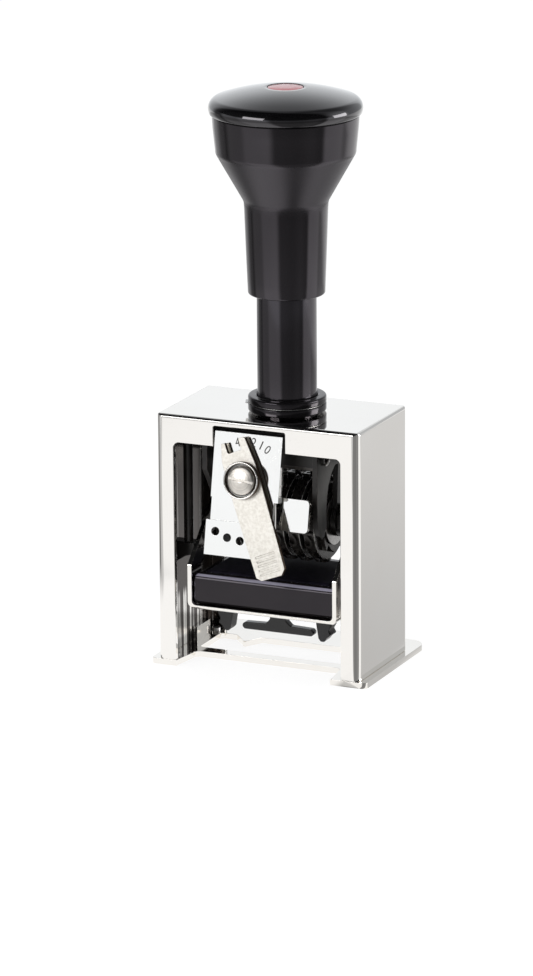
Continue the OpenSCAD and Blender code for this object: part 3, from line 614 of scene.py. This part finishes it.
ring_black = finish("ring_black", (0.0050, 0.0047, 0.0052), (0.0075, 0.0070, 0.0076), (0.10, 0.16), grain=0.06,
                    edge_shade=(0.05, 0.048, 0.05), edge_reach=0.0002, mottle_scale=80.0, sheen=VIOLET_SHEEN)
lower_ring = ([(7.33, 64.5), (9.2, 64.5)] + arc(9.25, 64.85, 0.35, -90, 0, 5) + arc(9.3, 66.0, 0.3, 0, 90, 5) +
              [(7.33, 66.3), (7.33, 64.5)])
upper_ring = ([(7.33, 66.5), (9.3, 66.5)] + arc(9.3, 66.8, 0.3, -90, 0, 5) + arc(9.1, 67.8, 0.5, 0, 90, 6) +
              [(7.9, 68.3)] + arc(7.9, 67.9, 0.5, 100, 180, 5) + [(7.33, 67.8), (7.33, 66.5)])
turned_piece("ring_half_low", lower_ring, ring_black, "case", "knob_black", "stop_ring_lower")
turned_piece("ring_half_high", upper_ring, ring_black, "case", "knob_black", "stop_ring_upper")
eased_piece("ring_spring", "ring_clip", 0.05, turned_steel, "steel")
eased_piece("tube_ring_nut", "tube_nut", 0.2, turned_steel, "steel")

# ---------- Knob ----------
# A hollow moulded grip that slides over the guide tube, a glossy cap pressed on it, and a
# coloured button let into the top of the cap.

knob_black = finish("knob_black", (0.0042, 0.0038, 0.0042), (0.0056, 0.0052, 0.0056), (0.09, 0.13), grain=0.05,
                    grain_scale=420.0, mottle_scale=40.0, patch_scale=50.0, specular=0.9, sheen=VIOLET_SHEEN)
sleeve_end = arc(8.93, 94.1, 0.5, -90, 0, 6) + [(9.55, 97.0), (9.71, 101.0), (9.9, 106.0), (10.08, 111.0)]
neck = arc(13.25, 115.7, 3.0, 180, 150.5, 14)
shoulder = arc(14.9, 129.15, 2.2, -29.5, 0, 12)
drum_top = [(17.66, 134.6), (17.85, 137.5), (17.86, 137.7), (17.70, 137.9), (17.4, 137.95), (4.2, 137.95)]
grip_inside = [(4.2, 134.2), (7.36, 129.8), (7.36, 93.7)]
CONE_FOOT, CONE_HEAD = 0.115, 0.129


def dull_between(material, low, high, rough):
    """Leaves a turned piece matt between two heights."""
    g = opened(material)[0]
    height = g.parts(g.here())["Z"]
    matt = g.times(g.ramp(height, low - 0.001, low + 0.002), g.ramp(height, high + 0.001, high - 0.002))
    repainted(material, matt, None, rough)


dull_between(knob_black, CONE_FOOT, CONE_HEAD, 0.34)
turned_piece("knob_grip", [(7.36, 93.7)] + sleeve_end + neck + shoulder + drum_top + grip_inside, knob_black,
             "carriage", "knob_black", "knob_body", segments=160)

cap_gloss = finish("cap_gloss", (0.0030, 0.0028, 0.0032), (0.0040, 0.0038, 0.0043), (0.05, 0.08), lines=0.05,
                   mottle_scale=40.0, coat=1.0, sheen=VIOLET_SHEEN)
DOME_RADIUS, DOME_TOP = 53.7, 144.7
cap_foot = [(4.1, 139.9), (4.1, 138.1), (18.0, 138.1), (18.35, 138.15), (18.6, 138.4)]
cap_rim = arc(16.15, 139.5, 2.6, -8, 72.5, 22)
cap_dome = arc(0, DOME_TOP - DOME_RADIUS, DOME_RADIUS, 72.8, 85.1, 14)
button_seat = [(4.5, 144.45), (4.45, 144.3), (4.45, 143.7), (0, 143.7), (0, 139.9), (4.1, 139.9)]
turned_piece("knob_top", cap_foot + cap_rim + cap_dome + button_seat, cap_gloss, "carriage", "cap_black", "knob_cap",
             segments=160)

button_red = finish("button_red", (0.84, 0.36, 0.385), (0.80, 0.32, 0.345), (0.12, 0.22), grain=0.1,
                    mottle_scale=200.0, coat=0.3)
button_profile = [(0, 143.72), (4.25, 143.72), (4.3, 144.35), (4.15, 144.47), (2.0, 144.64), (0, 144.65)]
turned_piece("knob_button", button_profile, button_red, "carriage", "dot_red", "cap_dot", segments=96)

# ---------- Plunger rod, its screw and the return spring ----------
# Ground steel rod, a cheese-head screw inside the cap, and a coil of round spring wire. The coil
# stands on the bush of the guide tube, wound at rest, though the real one closes up as the knob goes down.

spring_steel = finish("spring_steel", (0.42, 0.42, 0.43), (0.34, 0.34, 0.35), (0.2, 0.32), 1.0, lines=0.3)
dressed("plunger_rod", turned_steel)
dressed("knob_screw", turned_steel)


def coil_tree():
    """Winds a wire into an upright coil that starts at the source's origin."""
    tree, g, given = geometry_tree("wound wire", Turns="Float", Coil_radius="Float", Height="Float",
                                   Wire_radius="Float")
    path = g.add("GeometryNodeCurveSpiral", Resolution=40, Rotations=given["Turns"], Height=given["Height"],
                 Start_Radius=given["Coil radius"], End_Radius=given["Coil radius"]).outputs[0]
    wire = g.add("GeometryNodeCurvePrimitiveCircle", Resolution=12, Radius=given["Wire radius"]).outputs["Curve"]
    swept = g.add("GeometryNodeCurveToMesh", Curve=path, Profile_Curve=wire, Fill_Caps=True).outputs[0]
    end_tree(g, swept, given["Material"])
    return tree


WIRE_RADIUS, COIL_RADIUS, COIL_TURNS = 0.5 * MM, 4.9 * MM, 15.0
COIL_FOOT, COIL_HEAD = 68.0, 129.6
coil = merged(mesh_of(bpy.data.meshes.new("wire"), coil_tree(), Turns=COIL_TURNS, Coil_radius=COIL_RADIUS,
                      Height=(COIL_HEAD - COIL_FOOT) * MM - 2 * WIRE_RADIUS, Wire_radius=WIRE_RADIUS,
                      Material=spring_steel))
coil.transform(PLUNGER @ Matrix.Translation((0, 0, COIL_FOOT * MM + WIRE_RADIUS)))
coil.shade_smooth()
spring = piece_from("wound_spring", coil, spring_steel, None, "steel", "return_spring")
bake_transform(spring)

# ---------- Carriage block and cheeks ----------
# A blackened casting with two ears on the guide rods, and two blackened steel cheeks screwed to
# its sides. The right cheek is an open frame, so that the wheels can be reached.

cast_black = finish("cast_black", (0.0090, 0.0078, 0.0070), (0.017, 0.0145, 0.0130), (0.30, 0.46), grain=0.6,
                    grain_scale=1100.0, edge_shade=(0.16, 0.15, 0.14), edge_reach=0.00025, mottle_scale=150.0)
eased_piece("block_casting", "carriage_block", 0.3, cast_black, "black_metal")
eased_piece("cheek_left_plate", "left_cheek", 0.18, blackened, "black_metal")
eased_piece("cheek_right_plate", "right_cheek", 0.18, blackened, "black_metal")
eased_piece("cheek_screw_set", "cheek_screws", 0.08, turned_steel, "steel")

# ---------- Axle and its nuts ----------
# A ground steel pin through both cheeks, on which the wheels turn. A blackened hexagon nut holds it
# outside the right cheek, and a round collar sits on it inside the left one.

eased_piece("axle_pin", "wheel_axle", 0.25, turned_steel, "steel")
eased_piece("axle_nut_pair", "axle_nuts", 0.2, blackened, "black_metal")

# ---------- Number wheels ----------
# Six blackened steel wheels side by side. Each rim carries ten raised figures, cut in mirror
# writing, and each wheel has a ratchet with ten teeth at its right side.

WHEEL_COUNT, WHEEL_PITCH, WHEEL_GAP = 6, 4.1, 0.06
WHEEL_CENTRE = Vector((0.3, 3.6, 36.8))
RIM_RADIUS, RIM_WIDTH, FACE_RADIUS, BORE_RADIUS = 10.4, 2.9, 11.1, 2.26
RATCHET_RADIUS, RATCHET_WIDTH, TOOTH_DEPTH, TOOTH_COUNT = 8.8, 1.08, 1.7, 10
FIGURE_COUNT, FIGURE_HEIGHT, FIGURE_WIDTH, FIGURE_CHAMFER, FIGURE_ROOT = 10, 4.4, 2.35, 0.13, 0.5

type_metal = finish("type_metal", (0.030, 0.026, 0.024), (0.062, 0.055, 0.050), (0.20, 0.34), 0.35, grain=0.3,
                    lines=0.25, mottle_scale=320.0)


def figure_mesh(figure, height, width, depth, chamfer=0.0):
    """A figure lying in x and y, centred, with its body from z = 0 up to the depth, all in millimetres."""
    usual_height, half_body = 0.7, 0.1
    text = bpy.data.curves.new("figure", "FONT")
    text.body = figure
    text.align_x, text.align_y = "CENTER", "CENTER"
    text.resolution_u = 5
    text.extrude = half_body
    text.bevel_depth = chamfer * usual_height / height
    text.bevel_resolution = 0
    text.offset = -text.bevel_depth
    mesh = taken_from(held(text))
    xs, ys = [v.co.x for v in mesh.vertices], [v.co.y for v in mesh.vertices]
    scale_y = height / (max(ys) - min(ys))
    scale_x = scale_y if figure == "1" else width / (max(xs) - min(xs))
    middle = Vector(((max(xs) + min(xs)) / 2, (max(ys) + min(ys)) / 2, 0))
    face_from = half_body + 0.5 * text.bevel_depth
    for v in mesh.vertices:
        if v.co.z < 0:
            level = 0
        elif v.co.z > face_from or not chamfer:
            level = depth
        else:
            level = depth - chamfer
        flat = v.co - middle
        v.co = Vector((flat.x * scale_x, flat.y * scale_y, level)) * MM
    return merged(mesh)


figures = bpy.data.collections.new("wheel_figures")
for number in range(FIGURE_COUNT):
    shape = figure_mesh(str(number), FIGURE_HEIGHT, FIGURE_WIDTH, FACE_RADIUS - RIM_RADIUS + FIGURE_ROOT,
                        FIGURE_CHAMFER)
    figures.objects.link(bpy.data.objects.new("figure_%d" % number, shape))


def figures_round_a_wheel():
    """Sets the figures of a collection round the x axis, the first one lowest, the rest up the front."""
    tree, g, given = geometry_tree("figures round a wheel", Figures="Collection", Count="Int", Radius="Float")
    index = g.add("GeometryNodeInputIndex").outputs[0]
    turn = g.times(g.math("DIVIDE", index, given["Count"]), -2 * math.pi)
    spot = g.add("ShaderNodeCombineXYZ", Y=g.times(g.math("SINE", turn), given["Radius"]),
                 Z=g.times(g.math("COSINE", turn), g.times(given["Radius"], -1.0))).outputs[0]
    line = g.add("GeometryNodeMeshLine", Count=given["Count"]).outputs[0]
    points = g.add("GeometryNodeSetPosition", Geometry=line, Position=spot).outputs[0]
    shapes = g.add("GeometryNodeCollectionInfo", Collection=given["Figures"], Separate_Children=True,
                   Reset_Children=True).outputs[0]
    spin = g.add("ShaderNodeCombineXYZ", X=turn).outputs[0]
    copies = g.add("GeometryNodeInstanceOnPoints", Points=points, Instance=shapes, Pick_Instance=True,
                   Instance_Index=index, Rotation=spin).outputs[0]
    end_tree(g, copies, given["Material"])
    return tree


def joined(name, *meshes):
    """One mesh from several."""
    bm = bmesh.new()
    for mesh in meshes:
        bm.from_mesh(mesh)
    whole = bpy.data.meshes.new(name)
    bm.to_mesh(whole)
    bm.free()
    return whole


def flat_prism(outline, x0, x1):
    """A plate along x from an outline in y and z, in millimetres round the wheel's axis."""
    count = len(outline)
    corners = [(x * MM, y * MM, z * MM) for x in (x0, x1) for y, z in outline]
    sides = [(i, (i + 1) % count, (i + 1) % count + count, i + count) for i in range(count)]
    plate = bpy.data.meshes.new("prism")
    plate.from_pydata(corners, [], [tuple(range(count)), tuple(range(count, 2 * count))] + sides)
    return merged(plate)


def bright_chamfers(material):
    """Paints the sloping edges round the wheels' axis bright: partly wear, partly a painted highlight. Faces and
    flanks stay dark.
    """
    g = opened(material)[0]
    from_axis = g.vector("MULTIPLY", g.vector("SUBTRACT", g.here(), WHEEL_CENTRE * MM), (0, 1, 1))
    slope = g.vector("DOT_PRODUCT", g.vector("NORMALIZE", from_axis), g.here("Normal"))
    sloping = g.times(g.ramp(slope, 0.35, 0.45), g.ramp(slope, 0.92, 0.84))
    worn = g.ramp(g.noise(g.here(), 500.0), 0.38, 0.55, 0.25, 1.0)
    repainted(material, g.times(sloping, worn), (0.95, 0.93, 0.89, 1), 0.45)


# The chamfers of the figures are painted bright: wear, and a painted highlight.
bright_chamfers(type_metal)
figure_ring = mesh_of(bpy.data.meshes.new("empty"), figures_round_a_wheel(), Figures=figures, Count=FIGURE_COUNT,
                      Radius=FACE_RADIUS * MM, Material=type_metal)
figure_ring.transform(Matrix.Translation((RIM_WIDTH / 2 * MM, 0, 0)))
rim_side = [(BORE_RADIUS, 0.05), (3.6, 0.05), (3.8, 0.25), (8.6, 0.25), (8.8, 0.0), (RIM_RADIUS - 0.15, 0.0)]
rim_top = [(RIM_RADIUS, 0.15), (RIM_RADIUS, RIM_WIDTH - 0.15), (RIM_RADIUS - 0.15, RIM_WIDTH)]
rim_back = [(BORE_RADIUS, RIM_WIDTH), (BORE_RADIUS, 0.05)]
ALONG_X = Matrix.Rotation(math.radians(90), 4, "Y")
rim = turned_mesh(rim_side + rim_top + rim_back, type_metal, ALONG_X, 120, 30)
teeth = []
for k in range(TOOTH_COUNT):
    for radius, turn in ((RATCHET_RADIUS, 0), (RATCHET_RADIUS - TOOTH_DEPTH, 2), (RATCHET_RADIUS - 0.9, 20)):
        angle = math.radians(360 / TOOTH_COUNT * k + turn)
        teeth.append((radius * math.sin(angle), -radius * math.cos(angle)))
ratchet = flat_prism(teeth, RIM_WIDTH, RIM_WIDTH + RATCHET_WIDTH)
for i in range(WHEEL_COUNT):
    wheel = joined("wheel", rim, ratchet, figure_ring)
    left = WHEEL_CENTRE.x + (i - WHEEL_COUNT / 2) * WHEEL_PITCH + WHEEL_GAP
    wheel.transform(Matrix.Translation(Vector((left, WHEEL_CENTRE.y, WHEEL_CENTRE.z)) * MM))
    wheel.set_sharp_from_angle(angle=math.radians(30))
    piece_from("figure_wheel_%d" % (i + 1), wheel, type_metal, "wheel_%d" % (i + 1), "black_metal",
               "number_wheel_%d" % (i + 1))
bpy.data.collections.remove(figures)

# ---------- Detent springs, feed rocker and pawls ----------
# A comb of flat steel springs over the ratchets, and a rocking steel frame whose shaft carries one
# hardened pawl for each wheel.

spring_blue = finish("spring_sheet", (0.12, 0.11, 0.105), (0.07, 0.066, 0.063), (0.26, 0.38), 1.0, lines=0.5)
eased_piece("detent_spring_comb", "detent_comb", 0.06, spring_blue, "steel")
eased_piece("rocker_frame", "rocker_yoke", 0.08, turned_steel, "steel")
dressed("feed_shaft", turned_steel)
eased_piece("feed_pawl_set", "feed_pawls", 0.08, blackened, "black_metal")

# ---------- Front bracket ----------
# Bright nickel sheet, folded back to the block and held by two steel screws, with a wing to the
# right that leans nearly as the dial plate does.

satin_sheet = finish("satin_sheet", (0.99, 0.975, 0.95), (0.97, 0.955, 0.925), (0.05, 0.07), 1.0, lines=0.1,
                     mottle_scale=80.0, edge_shade=(0.97, 0.95, 0.92))
WING_FOLD, WING_START, WING_TOP = 4.2 * MM, 5.0 * MM, 46 * MM
WING_MIDDLE = Vector((5.0, -14.3, 41.6)) * MM
WING_LEAN, WING_TURN = math.radians(-11), math.radians(-4.5)


def lean_wing(bm):
    """Turns the wing of the bracket until it lies nearly as the dial plate does."""
    for x in (WING_FOLD, WING_START):
        everything = bm.verts[:] + bm.edges[:] + bm.faces[:]
        bmesh.ops.bisect_plane(bm, geom=everything, plane_co=(x, 0, 0), plane_no=(1, 0, 0))
    wing = [v for v in bm.verts if v.co.x > WING_START - 0.01 * MM and v.co.z < WING_TOP]
    turned = Matrix.Rotation(WING_LEAN, 3, "X") @ Matrix.Rotation(WING_TURN, 3, "Z")
    bmesh.ops.rotate(bm, verts=wing, cent=WING_MIDDLE, matrix=turned)


eased_piece("front_bracket_sheet", "front_bracket", 0.15, satin_sheet, "nickel_sheet", bend=lean_wing)
eased_piece("bracket_screw_pair", "bracket_screws", 0.12, turned_steel, "steel")

# ---------- Dial plate ----------
# A bright nickel plate that leans forward at its foot, with the settings engraved over the pivot
# and a row of detent holes below it.

dial_nickel = finish("dial_nickel", (0.99, 0.975, 0.95), (0.97, 0.955, 0.925), (0.045, 0.06), 1.0, lines=0.15,
                     mottle_scale=60.0, edge_shade=(0.98, 0.97, 0.95))
eased_piece("dial_sheet", "index_plate", 0.12, dial_nickel, "nickel_sheet")
dressed("plate_spacers", turned_steel)

PIVOT = Vector((-2.0, -17.1, 50.1)) * MM
DIAL = Matrix.Translation(PIVOT) @ Matrix.Rotation(math.radians(-11), 4, "X")
OUTWARD = Matrix.Rotation(math.radians(90), 4, "X")
DIAL_FIGURES = (("4", -18.1), ("3", -4.8), ("2", 8.6), ("1", 21.6), ("0", 33.4))
DIAL_RADIUS, DIAL_HEIGHT, DIAL_WIDTH, DIAL_RELIEF = 9.4, 2.2, 1.2, 0.02
engraving = finish("engraving", (0.045, 0.042, 0.040), (0.12, 0.115, 0.105), (0.6, 0.8), grain=0.3,
                   mottle_scale=900.0, specular=0.15)
marks = []
for figure, turn in DIAL_FIGURES:
    mark = figure_mesh(figure, DIAL_HEIGHT, DIAL_WIDTH, DIAL_RELIEF)
    on_circle = Matrix.Rotation(math.radians(turn), 4, "Y") @ Matrix.Translation((0, 0, DIAL_RADIUS * MM))
    mark.transform(DIAL @ on_circle @ OUTWARD)
    marks.append(mark)
piece_from("dial_figures", joined("dial_figures", *marks), engraving, "carriage", "nickel_sheet")

# ---------- Selector lever, cup washer and pivot screw ----------
# A thick lever in matt nickel, with a forked head that frames the chosen setting and grip lines
# at its foot. A bright cup washer sits on it, round a slotted screw with a domed head.

# Its rounded edges are painted darker than its faces: painted shade.
lever_nickel = finish("lever_nickel", (0.75, 0.717, 0.656), (0.87, 0.842, 0.786), (0.48, 0.51), 1.0, grain=0.8,
                      grain_scale=2600.0, mottle_scale=1300.0, edge_shade=(0.60, 0.57, 0.52), edge_reach=0.0002)
PLATE_AXIS = DIAL.to_3x3() @ Vector((0, -1, 0))


def brown_flanks(material):
    """Paints the faces that stand square to the dial plate dark brown: painted shade, for the dark that these
    polished flanks reflect.
    """
    g = opened(material)[0]
    facing = g.math("ABSOLUTE", g.vector("DOT_PRODUCT", g.here("Normal"), PLATE_AXIS))
    repainted(material, g.ramp(facing, 0.55, 0.25), (0.16, 0.105, 0.070, 1), 0.45)


# The lever's flanks are painted dark brown: painted shade.
brown_flanks(lever_nickel)
eased_piece("lever_tongue", "selector_lever", 0.16, lever_nickel, "satin_nickel")

LEVER_FRONT = 1.9
CUP_GROOVE_SHADE, GROOVE_EDGE, PAINTED_GROOVE_SHADE = (0.0031, 0.00405), 0.0001, 0.25


def ringed(material, low, high, shaded_groove=None):
    """Shades a turned face by its distance from the pivot's axis: fine rings, and painted shade in a groove."""
    g, shader = opened(material)
    radius = g.vector("LENGTH", g.vector("CROSS_PRODUCT", g.vector("SUBTRACT", g.here(), PIVOT), PLATE_AXIS))
    across = g.add("ShaderNodeCombineXYZ", radius).outputs[0]
    rings = g.ramp(g.noise(across, 2600.0, 2.0, 0.6), 0.34, 0.66)
    shade = g.math("ADD", g.times(rings, high - low), low)
    if shaded_groove:
        inside = g.times(g.ramp(radius, shaded_groove[0], shaded_groove[0] + GROOVE_EDGE),
                         g.ramp(radius, shaded_groove[1] + GROOVE_EDGE, shaded_groove[1], 0.0, 1.0 - PAINTED_GROOVE_SHADE))
        shade = g.times(shade, g.math("SUBTRACT", 1.0, inside))
    colour = shader.inputs["Base Color"]
    g.feed(colour, g.blend(1.0, colour.links[0].from_socket, shade, way="MULTIPLY"))
    embossed(g, shader, rings, 0.3, HAIRLINE_DEPTH)


cup_nickel = finish("cup_nickel", (0.93, 0.91, 0.87), (0.88, 0.86, 0.82), (0.12, 0.2), 1.0, lines=0.3,
                    mottle_scale=200.0)
# The cup's outer wall is painted dark brown: painted shade.
brown_flanks(cup_nickel)
# Down in the cup, round the screw head, a ring is painted dark: painted shade in the recess.
ringed(cup_nickel, 0.85, 1.0, CUP_GROOVE_SHADE)
cup_place = DIAL @ OUTWARD @ Matrix.Translation((0, 0, LEVER_FRONT * MM))
cup_floor = [(1.66, 0), (1.66, 0.4), (3.9, 0.4)] + arc(4.0, 0.55, 0.15, -90, 0, 3)
cup_wall = [(4.15, 1.2)] + arc(4.375, 1.27, 0.225, 180, 0, 8) + [(4.6, 0.3)]
cup_profile = cup_floor + cup_wall + arc(4.35, 0.25, 0.25, 0, -90, 4) + [(1.66, 0)]
piece_from("cup_washer", turned_mesh(cup_profile, cup_nickel, cup_place, 96), cup_nickel, "selector", "nickel_sheet",
           "pivot_cup")

screw_nickel = finish("screw_nickel", (0.86, 0.815, 0.75), (0.76, 0.72, 0.665), (0.30, 0.36), 1.0, lines=0.5,
                      mottle_scale=500.0)
ringed(screw_nickel, 0.80, 1.0)
# The screw's flanks are painted dark brown: painted shade.
brown_flanks(screw_nickel)


def slotted_head(radius, height, slot_width, slot_depth, place, turn):
    """A domed screw head with a straight slot, in millimetres, its underside on z = 0 of its own place."""
    dome, rim_share, steps = 3.0 * radius, 0.45, 12
    half_angle = math.asin(radius / dome)
    profile = [(0, 0), (radius - 0.1, 0), (radius, 0.1), (radius, height * rim_share)]
    for i in range(1, steps + 1):
        angle = half_angle * (1 - i / steps)
        level = height - dome + dome * math.cos(angle)
        if level > height * (rim_share + 0.02):
            profile.append((dome * math.sin(angle), level))
    head = turned_mesh(profile, screw_nickel, Matrix.Identity(4), 96)
    cutter = bpy.data.meshes.new("slot")
    bm = bmesh.new()
    bmesh.ops.create_cube(bm, size=1.0, matrix=Matrix.Translation((0, 0, height * MM)) @ Matrix.Diagonal(
        (3 * radius * MM, slot_width * MM, 2 * slot_depth * MM, 1)))
    bm.to_mesh(cutter)
    bm.free()
    holder, blade = held(head), held(cutter)
    modify(holder, "BOOLEAN", object=blade, solver="EXACT")
    modify(holder, "BEVEL", width=0.06 * MM, segments=2, limit_method="ANGLE", angle_limit=math.radians(40))
    mesh = taken_from(holder, blade)
    mesh.transform(place @ Matrix.Rotation(math.radians(turn), 4, "Z"))
    return smoothed(mesh, 35)


shank = turned_mesh([(0, -3.4), (1.6, -3.4), (1.6, 0.45), (0, 0.45)], screw_nickel, cup_place, 48)
screw_place = DIAL @ OUTWARD @ Matrix.Translation((0, 0, (LEVER_FRONT + 0.5) * MM))
head = slotted_head(radius=3.6, height=1.4, slot_width=0.62, slot_depth=0.5, place=screw_place, turn=-7)
piece_from("pivot_screw_head", joined("pivot", shank, head), screw_nickel, "carriage", "steel", "pivot_screw")

# ---------- Stirrup of the ink cassette ----------
# One bent strip of bright nickel: two arms that hang from the hinge pins and a floor under the
# cassette, which two rivets hold.

eased_piece("stirrup_strip", "pad_stirrup", 0.18, bright_nickel, "nickel_sheet", steps=3)
eased_piece("stirrup_rivet_pair", "stirrup_rivets", 0.1, turned_steel, "steel")

# ---------- Ink cassette ----------
# A glossy black moulded tray with rounded edges, filled with a felt pad full of ink,
# on a T-shaped grip with two pointed runners.

# Its edges are painted pale violet through the edge mask: a painted highlight.
cassette_gloss = finish("cassette_gloss", (0.0065, 0.0056, 0.0060), (0.0105, 0.0090, 0.0096), (0.12, 0.18),
                        lines=0.2, grain=0.1, edge_shade=(0.30, 0.28, 0.36), edge_reach=0.00035, mottle_scale=90.0,
                        specular=0.42, sheen=VIOLET_SHEEN)


def pale_brow(material):
    """Paints a pale line on the rounding between a moulding's front and its top: a painted highlight."""
    g = opened(material)[0]
    facing = g.parts(g.here("Normal"))
    rounding = g.times(g.ramp(facing["Z"], 0.52, 0.64), g.ramp(facing["Y"], -0.36, -0.48))
    repainted(material, rounding, (0.40, 0.38, 0.48, 1), 0.40)


# The tray's top front rounding gets a painted highlight.
pale_brow(cassette_gloss)
eased_piece("cassette_tray", "ink_cassette", 0.45, cassette_gloss, "cassette_black", steps=4)
grip_black = finish("grip_black", (0.0060, 0.0056, 0.0056), (0.0095, 0.0090, 0.0090), (0.16, 0.28), grain=0.2,
                    edge_shade=(0.06, 0.06, 0.06), mottle_scale=160.0)
eased_piece("cassette_t_grip", "cassette_grip", 0.25, grip_black, "knob_black")

felt = finish("ink_felt", (0.006, 0.005, 0.011), (0.011, 0.009, 0.020), (0.75, 0.95), grain=1.0, grain_scale=2200.0,
              mottle_scale=700.0, specular=0.2)
pad = eased_piece("felt_pad", "ink_pad", 0.4, felt, "ink_felt", steps=3)
